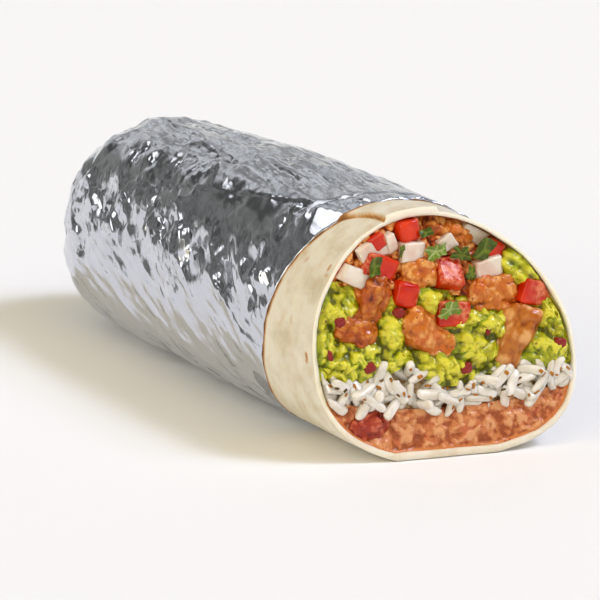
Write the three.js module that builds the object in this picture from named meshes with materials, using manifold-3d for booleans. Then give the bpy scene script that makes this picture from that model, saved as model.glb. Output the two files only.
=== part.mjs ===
// A foil-wrapped burrito with its front end cut off to show the filling.
// Millimetres, +Z up. The roll lies along Y with its cut end towards -Y, on its flattened underside.
// It is drawn with Y = 0 at the middle of the cut and is then centred over its own footprint.

import * as THREE from 'three';
import { mergeVertices } from 'three/addons/utils/BufferGeometryUtils.js';
import Module from 'manifold-3d';

const wasm = await Module();
wasm.setup();
const Manifold = wasm.Manifold;

// The roll
const LENGTH = 202.5;          // middle of the cut to the folded end
const MIDDLE_HEIGHT = 29;      // height of the roll's middle over the table
const SECTION_RADII = [        // from that middle, every 30 degrees, from the right-hand side up and over
  37.7, 35.4, 34.8, 36.3, 37.2, 36.8, 36.9, 37.1, 33.2, 29.1, 32.8, 38.9,
];
const BELLY = 0.05;            // how much fatter the roll is half way along
const TAPER = 0.034;           // how much thinner it has become at the folded end
const END_LENGTH = 42;         // the stretch over which the folded end rounds off
const END_POWER = 2.36;        // 2 would be an ellipse, more is blunter
const END_LIFT = 4;            // the folded end rises this much off the table

// The slanting cut and the slanting edge of the foil, as slopes of Y across X and up Z
const CUT_SLOPE = { across: -0.14, up: 0.18 };
const FOIL_EDGE = 27.8;        // foil edge behind the cut, at the middle of the roll
const FOIL_SLOPE = { across: -0.16, up: -0.16 };

// Thicknesses
const GAP = 0.3;               // clearance between neighbouring pieces
const FOIL_BUILD_UP = 1.2;     // the crumpled layers of foil together
const CRINKLE = 0.7;           // how far a crease stands in or out
const TORTILLA_INSET = 0.3;    // bare tortilla, just inside the foil's outer surface
const TORTILLA_WALL = 1.2;     // one layer at the cut
const TORTILLA_SOLE = 0.7;     // how much thicker it is underneath
const TORTILLA_ROLLED = 3.6;   // the overlapping layers further in
const FLAP_HEIGHT = 1.4;       // the lifted fold on top of the bare tortilla
const CAVITY_END = 174;        // the filling stops here

const rad = THREE.MathUtils.degToRad;
const { clamp, lerp, smoothstep } = THREE.MathUtils;

// A repeatable source of random numbers
function randomFrom(seed) {
  let state = seed * 2654435761 >>> 0;
  return () => {
    state = state + 0x6d2b79f5 >>> 0;
    let mixed = Math.imul(state ^ state >>> 15, 1 | state);
    mixed = mixed + Math.imul(mixed ^ mixed >>> 7, 61 | mixed) ^ mixed;
    return ((mixed ^ mixed >>> 14) >>> 0) / 4294967296;
  };
}

// Soft hill of height 1 around a middle
function bell(value, middle, width) {
  return Math.exp(-(((value - middle) / width) ** 2));
}

// The rolled section's radius at an angle, through the listed radii
function sectionRadius(angle) {
  const count = SECTION_RADII.length;
  const turn = THREE.MathUtils.euclideanModulo(angle / (2 * Math.PI) * count, count);
  const first = Math.floor(turn);
  const t = turn - first;
  const [a, b, c, d] = [-1, 0, 1, 2].map((k) => SECTION_RADII[(first + k + count) % count]);
  return b + 0.5 * t * (c - a + t * (2 * a - 5 * b + 4 * c - d + t * (3 * (b - c) + d - a)));
}

// A point on the roll, inset from its outer surface, flattened underneath
function rollPoint(angle, y, inset) {
  const along = clamp(y / LENGTH, 0, 1);
  const swell = 1 + BELLY * Math.sin(Math.PI * along) - TAPER * along;
  const rounding = clamp((y - LENGTH + END_LENGTH) / (END_LENGTH - inset), 0, 1);
  const shrink = (1 - rounding ** END_POWER) ** (1 / END_POWER);
  const radius = (sectionRadius(angle) * swell - inset) * shrink;
  const middle = MIDDLE_HEIGHT * swell + END_LIFT * rounding ** 2;
  return [radius * Math.cos(angle), y, Math.max(inset, middle + radius * Math.sin(angle))];
}

// Where a slanting plane meets the roll at an angle
function slantedY(angle, middle, slope) {
  const radius = sectionRadius(angle);
  return middle + radius * (slope.across * Math.cos(angle) + slope.up * Math.sin(angle));
}
const cutY = (angle) => slantedY(angle, 0, CUT_SLOPE);
const foilEdgeY = (angle) => slantedY(angle, FOIL_EDGE, FOIL_SLOPE);

// Angles round the roll
function angles(count) {
  return Array.from({ length: count }, (_, i) => 2 * Math.PI * i / count);
}

// Joins rings of points into one closed surface. A ring of one point is a tip.
// With loop, the last ring joins the first again, as in a cup with a wall.
function closedSurface(rings, loop) {
  const starts = [];
  const positions = [];
  for (const ring of rings) {
    starts.push(positions.length / 3);
    positions.push(...ring.flat());
  }
  const faces = [];
  const pairs = loop ? rings.length : rings.length - 1;
  for (let k = 0; k < pairs; k += 1) {
    const next = (k + 1) % rings.length;
    const size = Math.max(rings[k].length, rings[next].length);
    const here = (i) => starts[k] + (rings[k].length === 1 ? 0 : i % size);
    const there = (i) => starts[next] + (rings[next].length === 1 ? 0 : i % size);
    for (let i = 0; i < size && size > 1; i += 1) {
      if (rings[k].length > 1) faces.push(here(i), there(i), here(i + 1));
      if (rings[next].length > 1) faces.push(here(i + 1), there(i), there(i + 1));
    }
  }
  return solid(positions, faces);
}

function solid(positions, faces) {
  return new Manifold(new wasm.Mesh({
    numProp: 3,
    vertProperties: new Float32Array(positions),
    triVerts: new Uint32Array(faces),
  }));
}

// A solid from one of three.js's own geometries, with its points moved by a function
function shaped(geometry, move = (point) => point) {
  geometry.deleteAttribute('normal');
  geometry.deleteAttribute('uv');
  const merged = mergeVertices(geometry, 1e-4);
  const place = merged.getAttribute('position');
  const positions = [];
  for (let i = 0; i < place.count; i += 1) {
    positions.push(...move(new THREE.Vector3().fromBufferAttribute(place, i)).toArray());
  }
  return solid(positions, merged.index.array);
}

function largest(piece) {
  return piece.decompose().reduce((best, part) => (part.volume() > best.volume() ? part : best));
}

function boxesMeet(first, second) {
  const [a, b] = [first.boundingBox(), second.boundingBox()];
  return [0, 1, 2].every((k) => a.min[k] < b.max[k] && b.min[k] < a.max[k]);
}

// What is left of a piece beside the others, without loose scraps
function cutClear(piece, others) {
  const near = others.filter((other) => boxesMeet(piece, other));
  return largest(near.length > 0 ? piece.subtract(Manifold.union(near)) : piece);
}

// A piece with the usual clearance all round it
function withClearance(piece) {
  const box = piece.boundingBox();
  const middle = [0, 1, 2].map((k) => (box.min[k] + box.max[k]) / 2);
  const grow = [0, 1, 2].map((k) => 1 + 2.4 * GAP / (box.max[k] - box.min[k]));
  return piece.translate(middle.map((v) => -v)).scale(grow).translate(middle);
}

// Foil wrap: a crumpled cup round the roll, with the sheet's overlap running along its shoulder

const AROUND = 46;             // facets round the foil and the tortilla
const FOIL_ROWS = 17;
const LINING = [0, 0.1, 0.4, 0.7, 0.85, 0.94];   // rows where foil and tortilla lie on each other
const SEAM = { from: rad(116), to: rad(134), ends: 100, step: 0.6 };

function foilCrease(angle, y, random) {
  const underneath = smoothstep(Math.sin(-angle), 0.55, 0.9);
  const seamAngle = lerp(SEAM.from, SEAM.to, (y - FOIL_EDGE) / (SEAM.ends - FOIL_EDGE));
  const overlap = SEAM.step * smoothstep(seamAngle - angle, -0.06, 0.06) * bell(angle, rad(90), rad(50));
  return (overlap + CRINKLE * (2 * random() - 1)) * (1 - underneath);
}

function liningRows(inset, shares) {
  return shares.map((share) => angles(AROUND).map((angle) => (
    rollPoint(angle, lerp(foilEdgeY(angle), LENGTH - inset, share), inset)
  )));
}

function makeFoil() {
  const random = randomFrom(11);
  const outside = [];
  for (let row = 0; row < FOIL_ROWS; row += 1) {
    const share = row / FOIL_ROWS;
    outside.push(angles(AROUND).map((angle) => {
      const edge = foilEdgeY(angle) + 0.8 * (2 * random() - 1) * (row === 0 ? 1 : 0);
      const easing = share < 0.72 ? share : 0.72 + 0.28 * Math.sin((share - 0.72) / 0.28 * Math.PI / 2);
      const y = lerp(edge, LENGTH - 0.6, easing) + (row > 0 ? 1.6 * (1 - share) * (random() - 0.5) : 0);
      const turned = angle + (row > 0 ? 0.035 * (random() - 0.5) : 0);
      return rollPoint(turned, Math.min(y, LENGTH - 0.2), -foilCrease(angle, y, random))
        .map((value, k) => (k === 2 ? Math.max(0, value) : value));
    }));
  }
  const inside = liningRows(FOIL_BUILD_UP, LINING).reverse();
  const tip = rollPoint(0, LENGTH, 0);
  const innerTip = rollPoint(0, LENGTH - FOIL_BUILD_UP, FOIL_BUILD_UP);
  return closedSurface([...outside, [tip], [innerTip], ...inside], true);
}

// Tortilla: a rolled sheet with a cut rim, a lifted fold on top, and a closed end inside the foil

const FLAP = { low: [rad(111), rad(132)], high: [rad(84), rad(114)] };   // its edges at the cut and at the foil

// Height of the lifted fold, between an edge on the left and one on the right, which run back to the left
function flapHeight(angle, share) {
  const left = lerp(...FLAP.low, share);
  const right = lerp(...FLAP.high, share);
  return FLAP_HEIGHT * smoothstep(angle, right - 0.05, right + 0.06) * smoothstep(left - angle, -0.06, 0.05);
}

function tortillaInset(angle, y, share) {
  const underFoil = smoothstep(y, foilEdgeY(angle) - 4, foilEdgeY(angle) - 1);
  const bare = TORTILLA_INSET - flapHeight(angle, share) * (1 - underFoil);
  return lerp(bare, FOIL_BUILD_UP + GAP, underFoil);
}

// The wall of the space inside the tortilla, and of what fills it
const CAVITY_ROWS = [18, 42, 90, 140, CAVITY_END];
function cavityPoint(angle, y, clearance) {
  const layer = TORTILLA_WALL + TORTILLA_SOLE * smoothstep(Math.sin(-angle), 0.3, 0.9);
  const wall = lerp(layer, TORTILLA_ROLLED, smoothstep(y, CAVITY_ROWS[0], CAVITY_ROWS[1]));
  return rollPoint(angle, y, TORTILLA_INSET + wall + clearance);
}

function makeTortilla() {
  const around = angles(AROUND);
  const outside = [0, 0.3, 0.6, 0.84, 0.95].map((share) => around.map((angle) => {
    const y = lerp(cutY(angle), foilEdgeY(angle), share);
    return rollPoint(angle, y, tortillaInset(angle, y, share));
  }));
  outside.push(...liningRows(FOIL_BUILD_UP + GAP, LINING));
  const inside = [...CAVITY_ROWS].reverse().map((y) => around.map((angle) => cavityPoint(angle, y, 0)));
  inside.push(around.map((angle) => cavityPoint(angle, cutY(angle), 0)));
  const tip = rollPoint(0, LENGTH - FOIL_BUILD_UP - GAP, FOIL_BUILD_UP + GAP);
  const innerTip = [0, CAVITY_END, MIDDLE_HEIGHT];
  return closedSurface([...outside, [tip], [innerTip], ...inside], true);
}

// The filling: one plug that fits the tortilla, parted into layers that run its whole length

const PLUG_AROUND = 38;
const PLUG_RINGS = 7;
const FACE_LUMPS = 0.9;        // relief of the soft layers at the cut

const cutPlaneY = (x, z) => CUT_SLOPE.across * x + CUT_SLOPE.up * (z - MIDDLE_HEIGHT);

// The filling lies further back towards the upper right, where the bare wall shows
function fillingY(x, z) {
  const hollow = 0.4 + 6.6 * clamp((0.6 * x + 0.9 * (z - 46)) / 36, 0, 1);
  return cutPlaneY(x, z) + hollow;
}

const riceBottom = (x) => 12.6 + 5 * (x / 36) ** 2;
const riceTop = (x) => 22.4 + 3.6 * bell(x, -11.5, 5) - 3 * bell(x, 1, 8);
const guacamoleTop = (x) => 45.5 + 2.5 * bell(x, -30, 12) - 3 * bell(x, 10, 12);

function makePlug() {
  const random = randomFrom(23);
  const around = angles(PLUG_AROUND);
  const rings = [];
  for (let ring = 1; ring <= PLUG_RINGS; ring += 1) {
    rings.push(around.map((angle) => {
      const rim = cavityPoint(angle, cutY(angle), GAP);
      const share = ring / PLUG_RINGS;
      const x = rim[0] * share;
      const z = lerp(MIDDLE_HEIGHT, rim[2], share);
      const lump = ring < PLUG_RINGS ? FACE_LUMPS * (2 * random() - 1) : 0.4;
      return [x, fillingY(x, z) + lump, z];
    }));
  }
  for (const y of CAVITY_ROWS) {
    const stop = y === CAVITY_END ? y - GAP : y;
    rings.push(around.map((angle) => cavityPoint(angle, stop, GAP)));
  }
  const front = [0, fillingY(0, MIDDLE_HEIGHT), MIDDLE_HEIGHT];
  return closedSurface([[front], ...rings, [[0, CAVITY_END - GAP, MIDDLE_HEIGHT]]], false);
}

// Everything inside the tortilla's wall, carried on in front of the cut
function makeRoom() {
  const around = angles(PLUG_AROUND);
  const ahead = around.map((angle) => {
    const [x, , z] = cavityPoint(angle, 0, GAP);
    return [x, -40, z];
  });
  const rows = [0, ...CAVITY_ROWS].map((y) => around.map((angle) => cavityPoint(angle, y, GAP)));
  const end = rows.at(-1)[0][1];
  return closedSurface([[[0, -40, MIDDLE_HEIGHT]], ahead, ...rows, [[0, end, MIDDLE_HEIGHT]]], false);
}

// A slice of space between two curved levels, which runs along the roll
function between(lower, upper) {
  const shape = new THREE.Shape();
  const steps = 10;
  const reach = 44;
  for (let i = 0; i <= steps; i += 1) {
    const x = lerp(-reach, reach, i / steps);
    if (i === 0) shape.moveTo(x, lower(x));
    else shape.lineTo(x, lower(x));
  }
  for (let i = steps; i >= 0; i -= 1) {
    const x = lerp(-reach, reach, i / steps);
    shape.lineTo(x, upper(x));
  }
  const prism = new THREE.ExtrudeGeometry(shape, { depth: 230, bevelEnabled: false });
  return shaped(prism, (p) => new THREE.Vector3(p.x, 190 - p.z, p.y));
}

// Rice: the layer's core with long grains fused over its cut end

const GRAIN = { length: 8.6, width: 2.5, count: 29 };

function makeGrain(random) {
  const length = GRAIN.length * (0.8 + 0.35 * random());
  const width = GRAIN.width * (0.9 + 0.2 * random());
  const bow = 0.5 * (random() - 0.5);
  return shaped(new THREE.SphereGeometry(0.5, 5, 4), (p) => new THREE.Vector3(
    p.x * width + bow * (1 - 4 * p.y * p.y),
    -p.z * width,
    p.y * length,
  ));
}

function makeRice(core, layer, room) {
  const random = randomFrom(37);
  const grains = [];
  for (let i = 0; i < GRAIN.count; i += 1) {
    const x = lerp(-35, 35, (i + 0.5 * random()) / GRAIN.count);
    const level = [0.22, 0.75, 0.48][i % 3] + 0.1 * (random() - 0.5);
    const z = lerp(riceBottom(x), riceTop(x), level);
    const lean = 150 * (random() - 0.5);
    const nod = 40 * (random() - 0.5);
    grains.push(makeGrain(random).rotate([nod, lean, 0]).translate([x, fillingY(x, z) - 0.5, z]));
  }
  const heap = Manifold.union([core, ...grains]).intersect(layer).intersect(room);
  return largest(heap);
}

// Pieces in the filling. Each is placed by its middle on the cut, in X and Z, and turned in that plane.

// A diced piece: a box with softened corners, bowed as a layer of onion is or straight
function dice([wide, high, deep], { seed, soft = 0.16, bow = 0 }) {
  const random = randomFrom(seed);
  return shaped(new THREE.BoxGeometry(1, 1, 1, 2, 2, 2), (p) => {
    const corner = Math.abs(p.x * p.y) + Math.abs(p.y * p.z) + Math.abs(p.x * p.z);
    const shrink = 1 - soft * corner / 0.75 + 0.1 * (random() - 0.5);
    return new THREE.Vector3(
      p.x * shrink * wide,
      p.y * shrink * deep + bow * (4 * p.z * p.z - 0.5),
      p.z * shrink * high * (1 - 0.12 * p.x),
    );
  });
}

// A chunk of grilled meat: a rounded, uneven lump
function chunk([wide, high, deep], { seed, square = 0.75 }) {
  const random = randomFrom(seed);
  const waves = Array.from({ length: 3 }, () => [random() * 6, 2 + 2 * random(), random() * 6]);
  return shaped(new THREE.SphereGeometry(0.5, 10, 6), (p) => {
    const lump = waves.reduce((sum, [shift, pitch, other]) => (
      sum + Math.sin(pitch * 4 * p.x + shift) * Math.cos(pitch * 4 * p.z + other)
    ), 0);
    const grow = 1 + 0.07 * lump;
    const squared = (v) => 0.5 * Math.sign(v) * Math.abs(2 * v) ** square;
    return new THREE.Vector3(
      squared(p.x) * grow * wide,
      -squared(p.z) * grow * deep,
      squared(p.y) * grow * high,
    );
  });
}

// A leaf: thin and wavy, its front and back split into triangles alike
function leaf([wide, high], { seed, lobes = 3 }) {
  const random = randomFrom(seed);
  const points = 14;
  const thick = 0.7;
  const sheet = (offset) => Array.from({ length: points }, (_, i) => {
    const angle = 2 * Math.PI * i / points;
    const edge = 0.5 * (1 - 0.2 * (i % 2) + 0.12 * Math.cos(lobes * angle));
    const wave = 0.5 * Math.sin(2 * angle + seed);
    return [wide * edge * Math.cos(angle), offset + wave, high * edge * Math.sin(angle)];
  });
  const middle = 0.3 * random();
  return closedSurface([[[0, middle, 0]], sheet(0), sheet(thick), [[0, thick + middle, 0]]], false);
}

// Listed from the front of the pile to the back: middle [x, z], size [wide, high, deep],
// turn in the plane of the cut, tilt back, and how far the piece stands proud of the soft filling
const PIECES = [
  { name: 'cilantro_1', make: leaf, at: [-19, 52.6], size: [3.6, 5], turn: -4, proud: 4.6, lobes: 2 },
  { name: 'cilantro_2', make: leaf, at: [-10.5, 55.6], size: [1.6, 3.4], turn: 4, proud: 3.4, lobes: 2 },
  { name: 'cilantro_3', make: leaf, at: [-3, 60], size: [3.4, 2.2], turn: 20, proud: 4.4, lobes: 3 },
  { name: 'cilantro_4', make: leaf, at: [-1, 55], size: [7, 4.8], turn: 12, proud: 4.6, lobes: 5 },
  { name: 'cilantro_5', make: leaf, at: [6.8, 53.6], size: [6.4, 4.6], turn: -24, proud: 4.4, lobes: 3 },
  { name: 'cilantro_6', make: leaf, at: [8.7, 48.4], size: [3.2, 4.8], turn: -6, proud: 4.2, lobes: 3 },
  { name: 'cilantro_7', make: leaf, at: [14, 54.2], size: [4.6, 6.2], turn: -32, proud: 4.2, lobes: 3 },
  { name: 'cilantro_8', make: leaf, at: [0.6, 39.8], size: [8, 4.6], turn: 4, proud: 5, lobes: 5 },
  { name: 'onion_1', make: dice, at: [-24.4, 50.2], size: [8.6, 9.2, 5], turn: -24, proud: 3.2, bow: 0.5 },
  { name: 'onion_2', make: dice, at: [-7, 55.2], size: [6.6, 4.8, 5], turn: 2, proud: 3 },
  { name: 'onion_3', make: dice, at: [-12.9, 57.9], size: [3, 8.6, 5], turn: 24, proud: 2.6, bow: 0.4 },
  { name: 'onion_4', make: dice, at: [-18, 56.2], size: [8.6, 2.6, 5], turn: 16, proud: 2 },
  { name: 'onion_5', make: dice, at: [3.9, 56.4], size: [4.6, 4.6, 4], turn: 30, proud: 2.6 },
  { name: 'onion_6', make: dice, at: [15, 49], size: [8, 6.8, 5], turn: 10, proud: 3 },
  { name: 'onion_7', make: dice, at: [13, 58.3], size: [7.6, 3.6, 5], turn: -42, proud: 2 },
  { name: 'tomato_1', make: dice, at: [-6.9, 60.8], size: [6.6, 6.4, 7], turn: 14, proud: 3.4, soft: 0.26 },
  { name: 'tomato_2', make: dice, at: [-16.6, 58.6], size: [4.4, 3, 4.6], turn: 30, proud: 2.6 },
  { name: 'tomato_3', make: dice, at: [-16.4, 52], size: [9.6, 8.6, 6], turn: -18, proud: 2.6 },
  { name: 'tomato_4', make: dice, at: [-9.8, 44], size: [6.8, 7.4, 7], turn: -18, proud: 3.4, soft: 0.22 },
  { name: 'tomato_5', make: dice, at: [3.6, 47.2], size: [7.6, 8.4, 8.4], turn: -8, tilt: 38, proud: 4.4 },
  { name: 'tomato_6', make: dice, at: [3.1, 38], size: [9.8, 7.4, 7], turn: -6, proud: 2.4 },
  { name: 'tomato_7', make: dice, at: [28, 41.4], size: [10.2, 6.8, 7], turn: -16, proud: 3.6, spin: 30 },
  { name: 'tomato_8', make: dice, at: [18.2, 53.4], size: [4.8, 4, 5], turn: -30, proud: 2.4 },
  { name: 'chicken_1', make: chunk, at: [-18.4, 42], size: [9.8, 15, 9], turn: 12, proud: 3.4 },
  { name: 'chicken_2', make: chunk, at: [-24.6, 34.4], size: [11.4, 8.4, 8], turn: -32, proud: 2.8 },
  { name: 'chicken_3', make: chunk, at: [-5, 48.8], size: [12, 8, 8], turn: -4, proud: 2.8 },
  { name: 'chicken_4', make: chunk, at: [-3, 32.2], size: [21, 11, 9], turn: -36, proud: 3.4 },
  { name: 'chicken_5', make: chunk, at: [15.8, 42.2], size: [15, 11.4, 9], turn: -4, proud: 3.4 },
  { name: 'chicken_6', make: chunk, at: [22.2, 30.2], size: [18, 9.6, 9], turn: 58, proud: 3.6, square: 0.6 },
  { name: 'chicken_7', make: chunk, at: [8.2, 57.8], size: [7.8, 4.8, 6], turn: -34, proud: 2.8 },
  { name: 'chicken_8', make: chunk, at: [1.4, 60.2], size: [7.2, 4.4, 6], turn: -8, proud: 2.2 },
  { name: 'guacamole_dollop', make: chunk, at: [26, 49], size: [11.2, 8.2, 8], turn: -36, proud: 3 },
  { name: 'bean_piece', make: chunk, at: [-20.6, 9.4], size: [12, 6.6, 6], turn: 8, proud: 1.8 },
];

function makePiece({ make, at: [x, z], size, turn, tilt = 0, spin = 0, proud, ...form }, index) {
  const piece = make(size, { seed: 100 + index, ...form });
  const turned = piece.rotate([tilt, 0, spin]).rotate([0, -turn, 0]);
  const front = turned.boundingBox().min[1];
  return turned.translate([x, fillingY(x, z) - proud - front, z]);
}

// Assembly

const FINISHES = {
  foil: { color: 0xb9bcc0, roughness: 0.3, metalness: 1 },
  tortilla: { color: 0xe3d6b8, roughness: 0.75, metalness: 0 },
  refried_beans: { color: 0xb5694a, roughness: 0.5, metalness: 0 },
  rice: { color: 0xecebe4, roughness: 0.45, metalness: 0 },
  guacamole: { color: 0xa9b61e, roughness: 0.4, metalness: 0 },
  chicken: { color: 0xbf6a2c, roughness: 0.4, metalness: 0 },
  tomato: { color: 0xd0301a, roughness: 0.25, metalness: 0 },
  onion: { color: 0xefe6dc, roughness: 0.3, metalness: 0 },
  cilantro: { color: 0x4f7a26, roughness: 0.5, metalness: 0 },
  bean: { color: 0x7c2f24, roughness: 0.4, metalness: 0 },
};

const burrito = new THREE.Group();

function addPiece(name, finish, piece) {
  const mesh = piece.getMesh();
  const geometry = new THREE.BufferGeometry();
  geometry.setAttribute('position', new THREE.BufferAttribute(new Float32Array(mesh.vertProperties), 3));
  geometry.setIndex(new THREE.BufferAttribute(new Uint32Array(mesh.triVerts), 1));
  const part = new THREE.Mesh(geometry, new THREE.MeshStandardMaterial(FINISHES[finish]));
  part.name = name;
  burrito.add(part);
}

const plug = makePlug();
const room = makeRoom();
const deep = () => -20;
const high = () => 90;
const raised = (level, lift) => (x) => level(x) + lift;

const beansSpace = between(deep, raised(riceBottom, -GAP / 2));
const riceSpace = between(raised(riceBottom, GAP / 2), raised(riceTop, -GAP / 2));
const aboveRice = between(raised(riceTop, GAP / 2), high);
const guacamoleSpace = between(raised(riceTop, GAP / 2), raised(guacamoleTop, -GAP / 2));
const chickenSpace = between(raised(guacamoleTop, GAP / 2), high);

// The pieces are cut clear of the wall, of the rice and of those in front of them
const pieces = [];
PIECES.forEach((entry, index) => {
  const space = entry.name === 'bean_piece' ? beansSpace : aboveRice;
  const whole = makePiece(entry, index).intersect(room).intersect(space);
  const piece = cutClear(whole, pieces.map(({ cleared }) => cleared));
  pieces.push({ name: entry.name, piece, cleared: withClearance(whole) });
});
const allCleared = pieces.map(({ cleared }) => cleared);

addPiece('foil_wrap', 'foil', makeFoil());
addPiece('tortilla', 'tortilla', makeTortilla());
addPiece('refried_beans', 'refried_beans', cutClear(plug.intersect(beansSpace), allCleared));
addPiece('rice', 'rice', makeRice(plug.intersect(riceSpace), riceSpace, room));
addPiece('guacamole', 'guacamole', cutClear(plug.intersect(guacamoleSpace), allCleared));
addPiece('chicken_filling', 'chicken', cutClear(plug.intersect(chickenSpace), allCleared));
for (const { name, piece } of pieces) {
  addPiece(name, name.split('_')[0], piece);
}

// Centred over its own footprint, with its underside at Z = 0
const box = new THREE.Box3().setFromObject(burrito);
const centre = box.getCenter(new THREE.Vector3());
burrito.position.set(-centre.x, -centre.y, -box.min.z);

export default burrito;
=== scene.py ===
# %% [markdown]
# # A foil-wrapped burrito, cut open
#
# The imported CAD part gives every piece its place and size: a rolled tortilla with its front end cut off on
# a slant, a foil wrap round the rest, and the layers of the filling. This script dresses it. It keeps the
# part's own named sizes, in millimetres, and turns them into metres once, when a mesh is made.

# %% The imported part
import math

import bmesh
import bpy
import numpy as np
from mathutils import Euler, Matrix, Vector, noise
from mathutils.bvhtree import BVHTree


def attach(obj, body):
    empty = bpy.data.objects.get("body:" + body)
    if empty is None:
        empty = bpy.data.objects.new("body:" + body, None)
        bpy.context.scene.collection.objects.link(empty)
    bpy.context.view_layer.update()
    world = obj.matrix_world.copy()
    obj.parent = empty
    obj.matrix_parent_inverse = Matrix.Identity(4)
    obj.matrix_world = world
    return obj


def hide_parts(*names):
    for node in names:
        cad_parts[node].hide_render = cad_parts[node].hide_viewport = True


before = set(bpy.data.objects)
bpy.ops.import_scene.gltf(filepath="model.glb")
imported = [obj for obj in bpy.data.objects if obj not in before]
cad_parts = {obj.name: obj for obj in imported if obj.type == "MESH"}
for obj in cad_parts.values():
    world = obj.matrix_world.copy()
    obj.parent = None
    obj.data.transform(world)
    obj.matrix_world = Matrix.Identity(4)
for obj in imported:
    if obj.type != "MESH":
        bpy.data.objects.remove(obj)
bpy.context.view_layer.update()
print("packed nodes:", len(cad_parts))

# %% [markdown]
# ## Sizes and the roll's shape
#
# The roll is drawn along Y with Y = 0 in the middle of the cut and the table at Z = 0. Its section is a
# curve through twelve radii. Every piece that lies on the roll or inside it asks the same function where
# the roll's surface is, so that skin, foil and filling fit each other without any placing by hand.

# %% Named sizes, in millimetres
LENGTH = 202.5
MIDDLE_HEIGHT = 29.0
SECTION_RADII = np.array([37.7, 35.4, 34.8, 36.3, 37.2, 36.8, 36.9, 37.1, 33.2, 29.1, 32.8, 38.9])
BELLY = 0.05
TAPER = 0.034
END_LENGTH = 42.0
END_POWER = 2.36
END_LIFT = 4.0
CUT_ACROSS, CUT_UP = -0.14, 0.18           # slopes of the cut
FOIL_EDGE = 27.8                           # foil edge behind the cut, at the middle of the roll
FOIL_ACROSS, FOIL_UP = -0.16, -0.16        # slopes of the foil's edge
FOIL_FORWARD = 3.2                         # how far its edge reaches forward on the upper left
FOIL_BUILD_UP = 1.2
TORTILLA_INSET = 0.3
TORTILLA_WALL = 1.2
TORTILLA_SOLE = 0.7
TORTILLA_ROLLED = 3.6
ROLLED_FROM, ROLLED_TO = 18, 42            # over this stretch one layer of tortilla becomes several
GAP = 0.3                                  # room between pieces that don't touch
CAVITY_END = 174.0
CENTRE = np.array([-0.319, -97.083, 0.0])  # moves the drawing over the middle of the part's footprint
MM = 0.001


def bell(value, middle, width):
    return np.exp(-(((value - middle) / width) ** 2))


def smooth(value, low, high):
    t = np.clip((value - low) / (high - low), 0.0, 1.0)
    return t * t * (3 - 2 * t)


def mix(a, b, t):
    return a + (b - a) * t


def section_radius(angle):
    count = len(SECTION_RADII)
    turn = np.mod(angle / (2 * math.pi) * count, count)
    first = np.floor(turn).astype(int)
    t = turn - first
    a, b, c, d = (SECTION_RADII[(first + k) % count] for k in (-1, 0, 1, 2))
    return b + 0.5 * t * (c - a + t * (2 * a - 5 * b + 4 * c - d + t * (3 * (b - c) + d - a)))


def roll_point(angle, y, inset):
    """Points on the roll, inset from its outer surface and flattened underneath."""
    along = np.clip(y / LENGTH, 0, 1)
    swell = 1 + BELLY * np.sin(math.pi * along) - TAPER * along
    rounding = np.clip((y - LENGTH + END_LENGTH) / (END_LENGTH - inset), 0, 1)
    shrink = (1 - rounding ** END_POWER) ** (1 / END_POWER)
    radius = (section_radius(angle) * swell - inset) * shrink
    middle = MIDDLE_HEIGHT * swell + END_LIFT * rounding ** 2
    height = np.maximum(np.maximum(inset, 0), middle + radius * np.sin(angle))
    return np.stack(np.broadcast_arrays(radius * np.cos(angle), y, height), axis=-1)


def cut_y(angle):
    return section_radius(angle) * (CUT_ACROSS * np.cos(angle) + CUT_UP * np.sin(angle))


def foil_edge_y(angle):
    forward = FOIL_FORWARD * bell(angle, math.radians(110), math.radians(26))
    return FOIL_EDGE + section_radius(angle) * (FOIL_ACROSS * np.cos(angle) + FOIL_UP * np.sin(angle)) - forward


def cavity_point(angle, y, clearance):
    """The wall of the space inside the tortilla: one layer at the cut, more layers further in."""
    layer = TORTILLA_WALL + TORTILLA_SOLE * smooth(np.sin(-angle), 0.3, 0.9)
    wall = mix(layer, TORTILLA_ROLLED, smooth(y, ROLLED_FROM, ROLLED_TO))
    return roll_point(angle, y, TORTILLA_INSET + wall + clearance)


# %% [markdown]
# ## Tools for making meshes
#
# Most pieces here are grids: rings of points joined into a skin. They are made with numpy and handed to
# Blender at once, which is quick even for a hundred thousand points. Relief comes from Blender's own noise
# functions, read at each point, so that it runs on unbroken round the roll and is the same on every run.

# %% Grids, normals and relief
ALONG_Y = np.array([0, 1, 0])


def ring_angles(count):
    return np.arange(count) * 2 * math.pi / count


def grid_faces(rows, columns, closed=True):
    """Faces between neighbouring rings; with closed, each ring's last point joins its first."""
    across = columns if closed else columns - 1
    r, c = np.meshgrid(np.arange(rows - 1), np.arange(across), indexing="ij")
    here, there = r * columns, (r + 1) * columns
    right = (c + 1) % columns
    return np.stack([here + c, here + right, there + right, there + c], axis=-1).reshape(-1, 4)


def grid_normals(points, closed=True):
    """Outward directions of a grid of rings that run anticlockwise seen from the front."""
    along = np.gradient(points, axis=0)
    if closed:
        around = (np.roll(points, -1, axis=1) - np.roll(points, 1, axis=1)) / 2
    else:
        around = np.gradient(points, axis=1)
    normal = np.cross(along, around)
    return normal / np.maximum(np.linalg.norm(normal, axis=-1, keepdims=True), 1e-9)


def hills(points, size, octaves=2, shift=0.0):
    """Soft random relief between about -1 and 1; size is the width of one hill in mm."""
    flat = points.reshape(-1, 3) / size + shift
    values = [noise.fractal(p, 1.0, 2.0, octaves) for p in flat.tolist()]
    return np.array(values).reshape(points.shape[:-1])


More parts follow.
